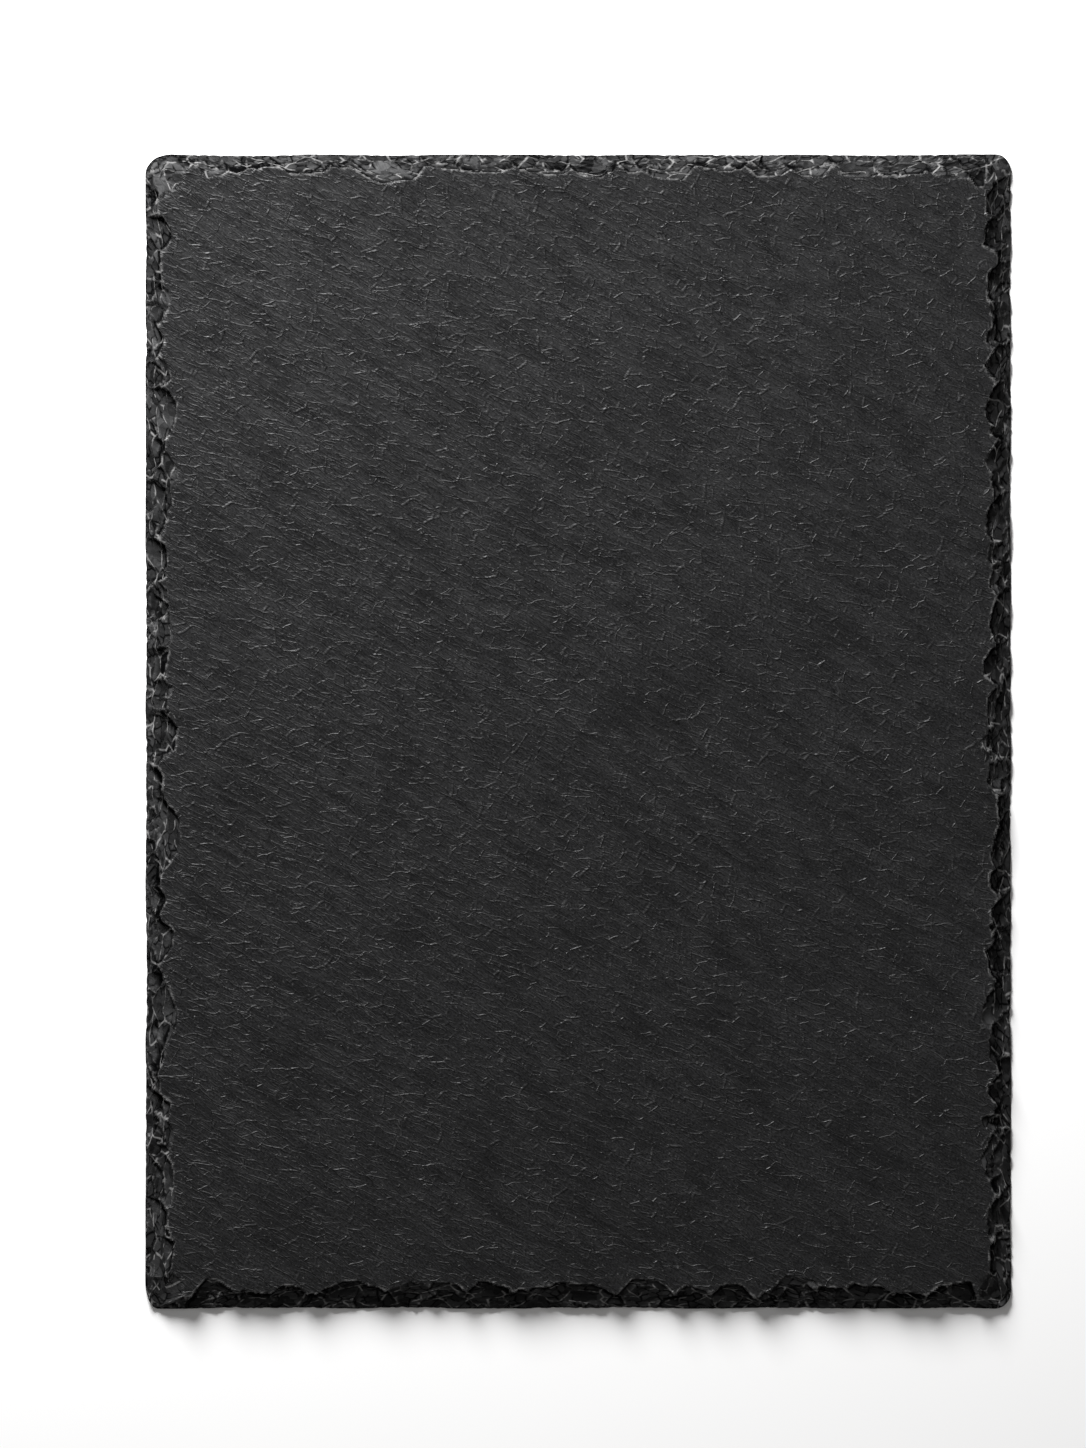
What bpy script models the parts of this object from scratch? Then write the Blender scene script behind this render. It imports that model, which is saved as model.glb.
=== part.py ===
"""A slab of riven slate with hand-dressed edges, 300 x 400 x 7 mm.

The frame is in metres with +Z up. The origin is at the middle of the flat underside, X runs across
the width and Y along the length. The slab is one solid: an outline with four unlike corners and a
chipped lower arris, a riven upper face with low cleavage ledges, and a rim where each blow of the
dressing tool took off a shell-shaped flake.
"""

import math
import random
from typing import NamedTuple

import bmesh
import bpy
import numpy as np

MM = 0.001

# Driving dimensions, in millimetres
WIDTH = 300.0
LENGTH = 400.0
THICKNESS = 7.0
HALF_WIDTH = WIDTH / 2
HALF_LENGTH = LENGTH / 2

# Outline: the corners' radii across and along, the waviness and the spacing of its points
CORNER_RADII = {
    "far_right": (6.0, 6.0),
    "far_left": (9.5, 7.0),
    "near_left": (4.5, 10.0),
    "near_right": (6.0, 6.5),
}
CORNER_STEPS = 5
OUTLINE_PITCH = 12.0
OUTLINE_WAVE = 0.45
FLUSH_EVERY = 5
SMALLEST_RADIUS = 1.5
RADIUS_SHRINK = 0.6

# Rim of the blank before the flakes: the range of the lower arris's inset, the height where the
# slab is widest, and the height and inset of the foot and the top of the bevel
LOWER_ARRIS_INSET = (0.5, 1.3)
WIDEST_HEIGHT = 1.2
BEVEL_FOOT = (2.0, 0.35)
BEVEL_TOP = (9.0, 7.6)

# Riven face: the grain's direction, the cutter's grid along and across it, how wide a ledge's drop
# is, how far a grid line keeps from it, and the band of the rim left out when the face is levelled
GRAIN_ANGLE = math.radians(-22.0)
GRID_REACH = (240.0, 256.0)
GRID_PITCH = (20.0, 18.0)
DROP_WIDTH = 1.2
LEDGE_CLEARANCE = 4.0
FACE_BAND = 15.0
CUTTER_TOP = 14.0

# Scars: roundness of the arris, how far a cutter reaches past the outline, the floor's fall, and
# the half length from which a flake leaves a step in its scar
ARRIS_POWER = 2.5
STEPPED_FROM = 10.0
OUTER_REACH = 3.0
FLOOR_FALL = 0.22
MAIN_SIDES = 10
SMALL_SIDES = 6

# Small chips where two flakes meet: how many of the meetings have one, and their ranges of sizes
RIM_SEED = 11
CHIPPED_SHARE = 0.8
CHIP_SHIFT = (-2.0, 2.0)
CHIP_HALF = (5.0, 8.5)
CHIP_BITE = (4.2, 6.6)
CHIP_LEAN = (-0.3, 0.3)
CHIP_FLOOR = (0.5, 1.1)

# Profiles across a scar, from its centre to its arris: share of the radius, share of the height
STEPPED_PROFILE = (
    (0.60, 0.10),
    (0.72, 0.44),
    (0.91, 0.60),
    (1.10, 1.40),
)
PLAIN_PROFILE = (
    (0.60, 0.14),
    (1.12, 1.34),
)

SLATE_COLOR = (0.030, 0.031, 0.033, 1.0)
SLATE_ROUGHNESS = 0.55


class Wave(NamedTuple):
    """A gentle wave: its height in millimetres, its pace along and across the grain, its start."""

    size: float
    pace_along: float
    pace_across: float
    start: float


class Ledge(NamedTuple):
    """A low step in the face, in millimetres, placed by distances along and across the grain.

    along is its middle, line is where its edge lies across the grain, length is the edge's length,
    fade is how far below the edge the face comes level again, and drop is the step's height.
    """

    along: float
    line: float
    length: float
    fade: float
    drop: float


class Scar(NamedTuple):
    """A flake scar on one side of the rim, in millimetres.

    along is its middle, measured from the far or left end of the side; half is half its length;
    bite is how far it reaches in from the outline; lean is how far its head slides along the side
    for each millimetre inwards; floor is the height left at the outline.
    """

    along: float
    half: float
    bite: float
    lean: float
    floor: float


class Side(NamedTuple):
    """A straight side: where along is 0, the direction of along, and the direction inwards."""

    start: tuple[float, float]
    forward: tuple[float, float]
    inward: tuple[float, float]


class CornerScar(NamedTuple):
    """A flake taken off a corner: which corner, the direction inwards, and its sizes."""

    across: int
    away: int
    inward_degrees: float
    half: float
    bite: float
    floor: float


UNDULATION = (
    Wave(0.16, 0.031, 0.022, 0.4),
    Wave(0.10, -0.047, 0.058, 1.9),
    Wave(0.05, 0.093, 0.101, 4.1),
)
GRAIN_WANDER = (
    Wave(2.6, 0.041, 0.0, 0.7),
    Wave(1.7, 0.093, 0.0, 2.2),
)

LEDGES = (
    Ledge(-105.0, 166.0, 90.0, 30.0, 0.30),
    Ledge(-20.0, 150.0, 80.0, 28.0, 0.28),
    Ledge(75.0, 119.0, 110.0, 34.0, 0.36),
    Ledge(-110.0, 84.0, 105.0, 40.0, 0.42),
    Ledge(-15.0, 61.0, 90.0, 32.0, 0.32),
    Ledge(85.0, 34.0, 110.0, 36.0, 0.34),
    Ledge(-75.0, 3.0, 120.0, 44.0, 0.46),
    Ledge(25.0, -16.0, 115.0, 40.0, 0.42),
    Ledge(115.0, -38.0, 90.0, 30.0, 0.40),
    Ledge(-90.0, -72.0, 110.0, 38.0, 0.36),
    Ledge(70.0, -88.0, 100.0, 36.0, 0.42),
    Ledge(-45.0, -117.0, 105.0, 34.0, 0.34),
    Ledge(60.0, -149.0, 100.0, 30.0, 0.32),
)

SIDES = {
    "far": Side((-HALF_WIDTH, HALF_LENGTH), (1.0, 0.0), (0.0, -1.0)),
    "near": Side((-HALF_WIDTH, -HALF_LENGTH), (1.0, 0.0), (0.0, 1.0)),
    "left": Side((-HALF_WIDTH, HALF_LENGTH), (0.0, -1.0), (1.0, 0.0)),
    "right": Side((HALF_WIDTH, HALF_LENGTH), (0.0, -1.0), (-1.0, 0.0)),
}

# Main flakes of each side, in the order of along
MAIN_SCARS = {
    "far": (
        Scar(25.0, 9.0, 8.6, 0.0, 2.0),
        Scar(38.0, 8.5, 6.8, 0.1, 1.6),
        Scar(55.0, 11.0, 8.6, 0.1, 1.9),
        Scar(68.0, 6.0, 5.6, 0.2, 1.3),
        Scar(84.0, 16.5, 10.8, 0.0, 2.2),
        Scar(104.5, 9.0, 6.6, 0.0, 1.4),
        Scar(120.0, 10.5, 8.7, 0.0, 1.8),
        Scar(139.0, 12.0, 9.2, 0.0, 2.0),
        Scar(155.0, 10.5, 9.0, 0.0, 1.8),
        Scar(170.0, 8.0, 7.2, 0.1, 1.6),
        Scar(182.0, 11.5, 10.6, -0.1, 2.1),
        Scar(199.0, 10.0, 6.8, 0.0, 1.5),
        Scar(216.0, 12.0, 9.6, 0.0, 2.0),
        Scar(231.0, 9.0, 9.8, 0.0, 1.9),
        Scar(248.0, 13.0, 10.4, 0.0, 2.2),
        Scar(262.0, 12.0, 9.6, 0.0, 1.9),
        Scar(281.0, 13.0, 15.4, 0.2, 3.0),
    ),
    "near": (
        Scar(25.5, 10.0, 11.4, -0.1, 2.0),
        Scar(37.0, 9.0, 7.4, 0.0, 1.4),
        Scar(49.0, 9.0, 9.4, 0.0, 1.8),
        Scar(70.0, 15.5, 11.0, 0.05, 2.2),
        Scar(91.5, 13.0, 12.0, 0.0, 2.2),
        Scar(105.0, 9.5, 11.0, -0.2, 1.7),
        Scar(119.5, 10.0, 11.0, -0.1, 2.0),
        Scar(131.0, 7.0, 7.2, 0.0, 1.5),
        Scar(148.0, 18.0, 11.6, 0.0, 2.4),
        Scar(174.0, 14.0, 11.2, 0.0, 2.1),
        Scar(190.0, 9.5, 9.6, 0.0, 1.7),
        Scar(203.0, 11.0, 10.2, 0.0, 1.9),
        Scar(225.0, 13.5, 12.2, 0.0, 2.3),
        Scar(238.0, 8.5, 9.8, -0.1, 1.6),
        Scar(250.0, 13.0, 9.6, -0.1, 2.0),
        Scar(264.5, 9.5, 6.8, 0.0, 1.4),
        Scar(279.0, 10.0, 10.6, 0.1, 2.0),
    ),
    "left": (
        Scar(28.5, 8.5, 10.2, 0.0, 2.0),
        Scar(37.5, 7.5, 6.6, 0.0, 1.3),
        Scar(50.5, 10.0, 11.4, 0.0, 2.2),
        Scar(64.0, 9.0, 7.2, 0.0, 1.5),
        Scar(77.0, 8.5, 9.2, -0.1, 1.7),
        Scar(90.5, 11.5, 12.8, 0.0, 2.2),
        Scar(102.5, 7.5, 8.2, 0.0, 1.5),
        Scar(119.0, 16.5, 14.0, -0.15, 2.5),
        Scar(140.5, 9.0, 8.8, 0.0, 1.6),
        Scar(153.0, 8.0, 9.6, 0.0, 1.8),
        Scar(164.5, 13.5, 11.2, 0.0, 2.1),
        Scar(178.0, 9.5, 8.4, 0.0, 1.5),
        Scar(186.0, 6.5, 10.6, 0.0, 1.7),
        Scar(202.0, 15.0, 14.4, -0.2, 2.4),
        Scar(217.0, 9.0, 8.2, 0.0, 1.5),
        Scar(236.0, 18.0, 14.2, -0.1, 2.5),
        Scar(258.5, 9.0, 8.6, 0.0, 1.6),
        Scar(271.5, 10.0, 10.6, 0.0, 1.9),
        Scar(287.0, 7.0, 8.8, 0.0, 1.5),
        Scar(302.0, 18.5, 11.8, -0.1, 2.3),
        Scar(322.0, 7.5, 6.0, 0.0, 1.3),
        Scar(330.5, 7.5, 9.6, 0.0, 1.6),
        Scar(341.5, 12.0, 13.2, 0.0, 2.3),
        Scar(357.5, 12.5, 12.4, -0.1, 2.1),
        Scar(369.0, 9.5, 8.8, 0.0, 1.6),
        Scar(380.5, 9.0, 12.0, 0.0, 2.2),
    ),
    "right": (
        Scar(16.0, 8.0, 10.0, 0.15, 2.0),
        Scar(26.0, 9.0, 11.0, 0.2, 2.1),
        Scar(35.0, 7.0, 7.2, 0.2, 1.4),
        Scar(44.0, 9.5, 9.2, 0.2, 1.9),
        Scar(54.0, 8.0, 8.8, 0.1, 1.6),
        Scar(62.5, 7.0, 10.2, 0.1, 1.8),
        Scar(73.0, 9.5, 9.6, 0.1, 1.9),
        Scar(88.5, 11.5, 9.6, 0.1, 2.0),
        Scar(105.5, 11.0, 10.2, 0.15, 2.0),
        Scar(117.0, 8.0, 8.4, 0.1, 1.6),
        Scar(127.5, 9.5, 10.2, 0.05, 1.9),
        Scar(137.5, 7.5, 9.4, 0.1, 1.7),
        Scar(147.0, 8.5, 8.0, 0.0, 1.5),
        Scar(161.0, 12.5, 8.8, 0.1, 1.9),
        Scar(177.5, 9.0, 10.4, -0.05, 1.9),
        Scar(191.5, 10.5, 10.2, 0.1, 2.0),
        Scar(212.5, 14.5, 13.0, -0.35, 2.5),
        Scar(227.0, 9.0, 5.8, 0.0, 1.3),
        Scar(240.5, 11.0, 8.4, 0.1, 1.8),
        Scar(251.5, 7.0, 8.8, 0.1, 1.6),
        Scar(265.0, 10.0, 8.2, 0.0, 1.7),
        Scar(277.5, 9.5, 10.2, 0.1, 1.9),
        Scar(293.0, 10.5, 11.6, 0.3, 2.2),
        Scar(309.0, 11.5, 9.2, 0.0, 1.9),
        Scar(324.5, 8.5, 8.4, 0.0, 1.6),
        Scar(334.0, 5.0, 11.2, 0.1, 1.8),
        Scar(346.0, 11.0, 11.6, 0.1, 2.1),
        Scar(357.0, 8.5, 8.0, 0.0, 1.5),
        Scar(368.0, 10.5, 10.4, 0.1, 2.0),
        Scar(383.5, 10.5, 9.4, 0.0, 1.9),
    ),
}


# Corners, from the corner point of the box: across is the sign of X, away the sign of Y
CORNER_SCARS = (
    CornerScar(-1, 1, -45.0, 15.5, 21.5, 3.4),
    CornerScar(-1, 1, -22.0, 9.0, 11.0, 2.0),
    CornerScar(-1, 1, -66.0, 11.5, 10.0, 1.8),
    CornerScar(1, 1, 225.0, 12.0, 15.5, 2.6),
    CornerScar(1, 1, 190.0, 9.5, 9.5, 1.8),
    CornerScar(-1, -1, 52.0, 14.0, 21.0, 2.8),
    CornerScar(-1, -1, 20.0, 10.5, 11.5, 1.9),
    CornerScar(-1, -1, 75.0, 11.0, 10.5, 1.8),
    CornerScar(1, -1, 128.0, 13.0, 16.5, 2.4),
    CornerScar(1, -1, 160.0, 9.5, 10.0, 1.8),
)


def clear_scene() -> None:
    """Remove the objects that the scene starts with."""
    for old in list(bpy.data.objects):
        bpy.data.objects.remove(old, do_unlink=True)


def mesh_object(name: str, points: list, faces: list) -> bpy.types.Object:
    """Make an object from points in millimetres and faces, with its normals turned outwards."""
    mesh = bpy.data.meshes.new(name)
    shell = bmesh.new()
    corners = [shell.verts.new((x * MM, y * MM, z * MM)) for x, y, z in points]
    for face in faces:
        shell.faces.new([corners[index] for index in face])
    bmesh.ops.recalc_face_normals(shell, faces=shell.faces)
    shell.to_mesh(mesh)
    shell.free()
    made = bpy.data.objects.new(name, mesh)
    bpy.context.scene.collection.objects.link(made)
    return made


def bridge(lower: int, upper: int, count: int) -> list:
    """Quads between two closed rings of count points that start at lower and upper."""
    return [
        (lower + i, lower + (i + 1) % count, upper + (i + 1) % count, upper + i)
        for i in range(count)
    ]


def side_fractions(length: float) -> list:
    """Where the outline's points lie along a straight side, as shares of it, ends left out."""
    count = round(length / OUTLINE_PITCH)
    return [step / count for step in range(1, count)]


def outline_ring(inset: float, waves: list) -> list:
    """The slab's outline moved inwards by inset, anticlockwise, with one wave for each point."""
    half_x = HALF_WIDTH - inset
    half_y = HALF_LENGTH - inset
    quadrants = (
        ("far_right", 1, 1, 0.0),
        ("far_left", -1, 1, 90.0),
        ("near_left", -1, -1, 180.0),
        ("near_right", 1, -1, 270.0),
    )
    arcs = []
    for name, sign_x, sign_y, start in quadrants:
        radius_x, radius_y = (
            max(radius - RADIUS_SHRINK * inset, SMALLEST_RADIUS) for radius in CORNER_RADII[name]
        )
        middle = (sign_x * (half_x - radius_x), sign_y * (half_y - radius_y))
        angles = [math.radians(start + 90.0 * step / CORNER_STEPS) for step in range(CORNER_STEPS + 1)]
        arcs.append([
            (middle[0] + radius_x * math.cos(angle), middle[1] + radius_y * math.sin(angle))
            for angle in angles
        ])
    ring = []
    waiting = iter(waves)
    for index, arc in enumerate(arcs):
        ring.extend(arc)
        following = arcs[(index + 1) % len(arcs)][0]
        leaving = arc[-1]
        is_across = index % 2 == 0
        for share in side_fractions(WIDTH if is_across else LENGTH):
            x = leaving[0] + (following[0] - leaving[0]) * share
            y = leaving[1] + (following[1] - leaving[1]) * share
            wave = next(waiting)
            if is_across:
                y -= math.copysign(wave, y)
            else:
                x -= math.copysign(wave, x)
            ring.append((x, y))
    return ring


def side_waves(chance: random.Random) -> list:
    """How far each point of the straight sides lies in from the outline; some lie flush."""
    waves = []
    for length in (WIDTH, LENGTH, WIDTH, LENGTH):
        for index in range(len(side_fractions(length))):
            flush = index % FLUSH_EVERY == 0
            waves.append(0.0 if flush else chance.uniform(0.0, OUTLINE_WAVE))
    return waves


def make_blank(chance: random.Random) -> bpy.types.Object:
    """The slab before its face is riven and its rim is flaked."""
    waves = side_waves(chance)
    chips = [chance.uniform(*LOWER_ARRIS_INSET) for _ in waves]
    arris = sum(LOWER_ARRIS_INSET) / 2
    levels = (
        (0.0, outline_ring(arris, [wave + chip - arris for wave, chip in zip(waves, chips)])),
        (WIDEST_HEIGHT, outline_ring(0.0, waves)),
        (BEVEL_FOOT[0], outline_ring(BEVEL_FOOT[1], waves)),
        (BEVEL_TOP[0], outline_ring(BEVEL_TOP[1], waves)),
    )
    points = [(x, y, height) for height, ring in levels for x, y in ring]
    count = len(levels[0][1])
    faces = [tuple(range(count)), tuple(range(3 * count, 4 * count))]
    for level in range(len(levels) - 1):
        faces.extend(bridge(level * count, (level + 1) * count, count))
    return mesh_object("slate_slab", points, faces)


def wave_sum(waves: tuple, along: np.ndarray, across: np.ndarray) -> np.ndarray:
    """The height of several waves together at distances along and across the grain."""
    return sum(
        wave.size * np.sin(wave.pace_along * along + wave.pace_across * across + wave.start)
        for wave in waves
    )


def face_relief(along: np.ndarray, across: np.ndarray) -> np.ndarray:
    """Depth of the riven face, in millimetres, at distances along and across the grain."""
    relief = wave_sum(UNDULATION, along, across)
    for ledge in LEDGES:
        reach = np.clip(1.0 - (2.0 * (along - ledge.along) / ledge.length) ** 2, 0.0, None)
        below = ledge.line - across
        drop = np.clip(below / DROP_WIDTH, 0.0, 1.0)
        rise = np.clip(1.0 - (below - DROP_WIDTH) / ledge.fade, 0.0, 1.0)
        relief += ledge.drop * reach * drop * rise
    return relief


def grid_lines() -> tuple:
    """Where the grid's lines lie along and across the grain, with one at each side of a drop."""
    along = np.arange(-GRID_REACH[0], GRID_REACH[0] + MM, GRID_PITCH[0])
    drops = sorted(edge for ledge in LEDGES for edge in (ledge.line, ledge.line - DROP_WIDTH))
    regular = np.arange(-GRID_REACH[1], GRID_REACH[1] + MM, GRID_PITCH[1])
    kept = [line for line in regular if min(abs(line - drop) for drop in drops) > LEDGE_CLEARANCE]
    return along, np.array(sorted(kept + drops))


def make_face_cutter() -> bpy.types.Object:
    """A block whose underside is the riven face, its lowest relief level with the thickness."""
    along_lines, across_lines = grid_lines()
    along, across = np.meshgrid(along_lines, across_lines)
    wandering = across + wave_sum(GRAIN_WANDER, along, across)
    x = along * math.cos(GRAIN_ANGLE) - wandering * math.sin(GRAIN_ANGLE)
    y = along * math.sin(GRAIN_ANGLE) + wandering * math.cos(GRAIN_ANGLE)
    relief = face_relief(along, across)
    inside = (np.abs(x) < HALF_WIDTH - FACE_BAND) & (np.abs(y) < HALF_LENGTH - FACE_BAND)
    height = THICKNESS - np.clip(relief - relief[inside].min(), 0.0, None)
    points = list(zip(x.ravel(), y.ravel(), height.ravel()))
    rows, columns = along.shape
    faces = [
        (start, start + 1, start + columns + 1, start + columns)
        for row in range(rows - 1)
        for start in range(row * columns, row * columns + columns - 1)
    ]
    rim = (
        list(range(columns))
        + [row * columns + columns - 1 for row in range(1, rows)]
        + [(rows - 1) * columns + column for column in range(columns - 2, -1, -1)]
        + [row * columns for row in range(rows - 2, 0, -1)]
    )
    lid = len(points)
    points.extend((points[index][0], points[index][1], CUTTER_TOP) for index in rim)
    for step, index in enumerate(rim):
        after = (step + 1) % len(rim)
        faces.append((index, rim[after], lid + after, lid + step))
    faces.append(tuple(range(lid, lid + len(rim))))
    return mesh_object("face_cutter", points, faces)


def rounded(share: float, reach: float) -> float:
    """A cosine or sine times reach, pushed outwards so that the arris is a rounded arch."""
    return math.copysign(abs(share) ** (2.0 / ARRIS_POWER), share) * reach


def make_scar_cutter(name: str, side: Side, scar: Scar, profile: tuple, sides: int) -> bpy.types.Object:
    """A closed shell-shaped cutter for one flake; its lower side is the scar that it leaves."""
    middle_x = side.start[0] + side.forward[0] * scar.along
    middle_y = side.start[1] + side.forward[1] * scar.along
    points = [(middle_x, middle_y, scar.floor)]
    for radius, rise in profile:
        for step in range(sides):
            angle = 2.0 * math.pi * step / sides
            reach = scar.bite if math.sin(angle) > 0.0 else OUTER_REACH
            inwards = rounded(math.sin(angle), reach * radius)
            along = rounded(math.cos(angle), scar.half * radius) + scar.lean * inwards
            ground = scar.floor + FLOOR_FALL * inwards
            points.append((
                middle_x + side.forward[0] * along + side.inward[0] * inwards,
                middle_y + side.forward[1] * along + side.inward[1] * inwards,
                ground + (THICKNESS - ground) * rise,
            ))
    faces = [(0, 1 + step, 1 + (step + 1) % sides) for step in range(sides)]
    for ring in range(len(profile) - 1):
        faces.extend(bridge(1 + ring * sides, 1 + (ring + 1) * sides, sides))
    apex = len(points)
    points.append((middle_x, middle_y, CUTTER_TOP))
    last = 1 + (len(profile) - 1) * sides
    faces.extend((last + step, last + (step + 1) % sides, apex) for step in range(sides))
    return mesh_object(name, points, faces)


def chip_between(before: Scar, after: Scar, chance: random.Random) -> Scar:
    """A small chip near the meeting of two flakes."""
    return Scar(
        along=(before.along + after.along) / 2 + chance.uniform(*CHIP_SHIFT),
        half=chance.uniform(*CHIP_HALF),
        bite=chance.uniform(*CHIP_BITE),
        lean=chance.uniform(*CHIP_LEAN),
        floor=chance.uniform(*CHIP_FLOOR),
    )


def make_side_cutters(chance: random.Random) -> list:
    """The main flakes of each side, and a smaller, lower chip where most of them meet."""
    cutters = []
    for name, side in SIDES.items():
        scars = MAIN_SCARS[name]
        for index, scar in enumerate(scars):
            profile = STEPPED_PROFILE if scar.half >= STEPPED_FROM else PLAIN_PROFILE
            cutters.append(make_scar_cutter(f"{name}_flake_{index}", side, scar, profile, MAIN_SIDES))
        for index, (before, after) in enumerate(zip(scars, scars[1:])):
            if chance.random() > CHIPPED_SHARE:
                continue
            chip = chip_between(before, after, chance)
            cutters.append(make_scar_cutter(f"{name}_chip_{index}", side, chip, PLAIN_PROFILE, SMALL_SIDES))
    return cutters


def make_corner_cutters() -> list:
    """The flakes that were struck off the corners."""
    cutters = []
    for index, corner in enumerate(CORNER_SCARS):
        angle = math.radians(corner.inward_degrees)
        inward = (math.cos(angle), math.sin(angle))
        side = Side((corner.across * HALF_WIDTH, corner.away * HALF_LENGTH), (inward[1], -inward[0]), inward)
        scar = Scar(0.0, corner.half, corner.bite, 0.0, corner.floor)
        cutters.append(make_scar_cutter(f"corner_flake_{index}", side, scar, STEPPED_PROFILE, MAIN_SIDES))
    return cutters


def set_as_cutters(cutters: list, name: str) -> bpy.types.Collection:
    """Keep the cutters in a collection of their own, drawn as wires and left out of renders."""
    group = bpy.data.collections.new(name)
    bpy.context.scene.collection.children.link(group)
    for cutter in cutters:
        bpy.context.scene.collection.objects.unlink(cutter)
        group.objects.link(cutter)
        cutter.hide_render = True
        cutter.display_type = "WIRE"
    return group


def cut_with(target: bpy.types.Object, group: bpy.types.Collection) -> None:
    """Take every cutter of a collection away from the target."""
    cut = target.modifiers.new(group.name, "BOOLEAN")
    cut.operation = "DIFFERENCE"
    cut.solver = "EXACT"
    cut.operand_type = "COLLECTION"
    cut.collection = group


def slate_material() -> bpy.types.Material:
    """Dark grey slate, slightly glossy on its riven face."""
    material = bpy.data.materials.new("slate")
    material.use_nodes = True
    shader = material.node_tree.nodes["Principled BSDF"]
    shader.inputs["Base Color"].default_value = SLATE_COLOR
    shader.inputs["Roughness"].default_value = SLATE_ROUGHNESS
    return material


def main() -> None:
    """Model the slab."""
    clear_scene()
    chance = random.Random(RIM_SEED)
    slab = make_blank(chance)
    slab.data.materials.append(slate_material())
    cut_with(slab, set_as_cutters([make_face_cutter()], "face"))
    cut_with(slab, set_as_cutters(make_side_cutters(chance) + make_corner_cutters(), "flakes"))


main()
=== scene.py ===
"""The slab of riven slate, dressed over its CAD frame.

Everything is in metres in the row frame: the origin is at the middle of the underside, X runs across
the slab, Y along it and +Z up out of the riven face. Shapes are worked out in millimetres.
"""

import logging
import math
import random
from dataclasses import dataclass
from enum import Enum
from typing import NamedTuple

import bmesh
import bpy
import numpy as np
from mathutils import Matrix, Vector


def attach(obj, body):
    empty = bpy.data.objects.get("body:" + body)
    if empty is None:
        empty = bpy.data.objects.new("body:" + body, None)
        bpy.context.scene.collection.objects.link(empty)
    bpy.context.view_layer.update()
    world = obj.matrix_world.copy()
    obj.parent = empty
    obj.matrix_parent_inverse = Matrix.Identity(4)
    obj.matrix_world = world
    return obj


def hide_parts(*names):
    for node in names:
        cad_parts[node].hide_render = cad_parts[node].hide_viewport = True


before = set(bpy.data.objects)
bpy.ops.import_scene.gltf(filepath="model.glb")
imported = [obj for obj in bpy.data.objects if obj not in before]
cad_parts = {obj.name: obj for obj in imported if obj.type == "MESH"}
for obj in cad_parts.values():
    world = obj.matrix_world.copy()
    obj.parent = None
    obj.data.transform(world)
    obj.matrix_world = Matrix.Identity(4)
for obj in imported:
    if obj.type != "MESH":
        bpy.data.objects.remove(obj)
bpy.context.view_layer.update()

LOG = logging.getLogger("slate")
MM = 0.001
NODE = "slate_slab"
BODY = "root"
SKIN = "slate_slab_skin"

# A node's input or output, a colour, and two arrays of one length.
Socket = bpy.types.NodeSocket
Color = tuple[float, float, float]
Pair = tuple[np.ndarray, np.ndarray]


class Grain(Enum):
    """The directions that the slate splits and wrinkles in, as turns about Z in degrees."""

    RIPPLE = -36.0
    LENS = -34.0
    LEDGE = -25.0
    CRACK = -30.0


class Wave(NamedTuple):
    """A gentle wave: its height in millimetres, its pace along and across the grain, its start."""

    size: float
    pace_along: float
    pace_across: float
    start: float


class Ledge(NamedTuple):
    """A low step in the face, in millimetres, placed by distances along and across the grain."""

    along: float
    line: float
    length: float
    fade: float
    drop: float


class Scar(NamedTuple):
    """A flake scar: its middle along a side, half length, bite, lean, and height at the outline."""

    along: float
    half: float
    bite: float
    lean: float
    floor: float


class Side(NamedTuple):
    """A straight side: where along is 0, the direction of along, and the direction inwards."""

    start: tuple[float, float]
    forward: tuple[float, float]
    inward: tuple[float, float]


class CornerScar(NamedTuple):
    """A flake taken off a corner: which corner, the direction inwards, and its sizes."""

    across: int
    away: int
    inward_degrees: float
    half: float
    bite: float
    floor: float


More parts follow.
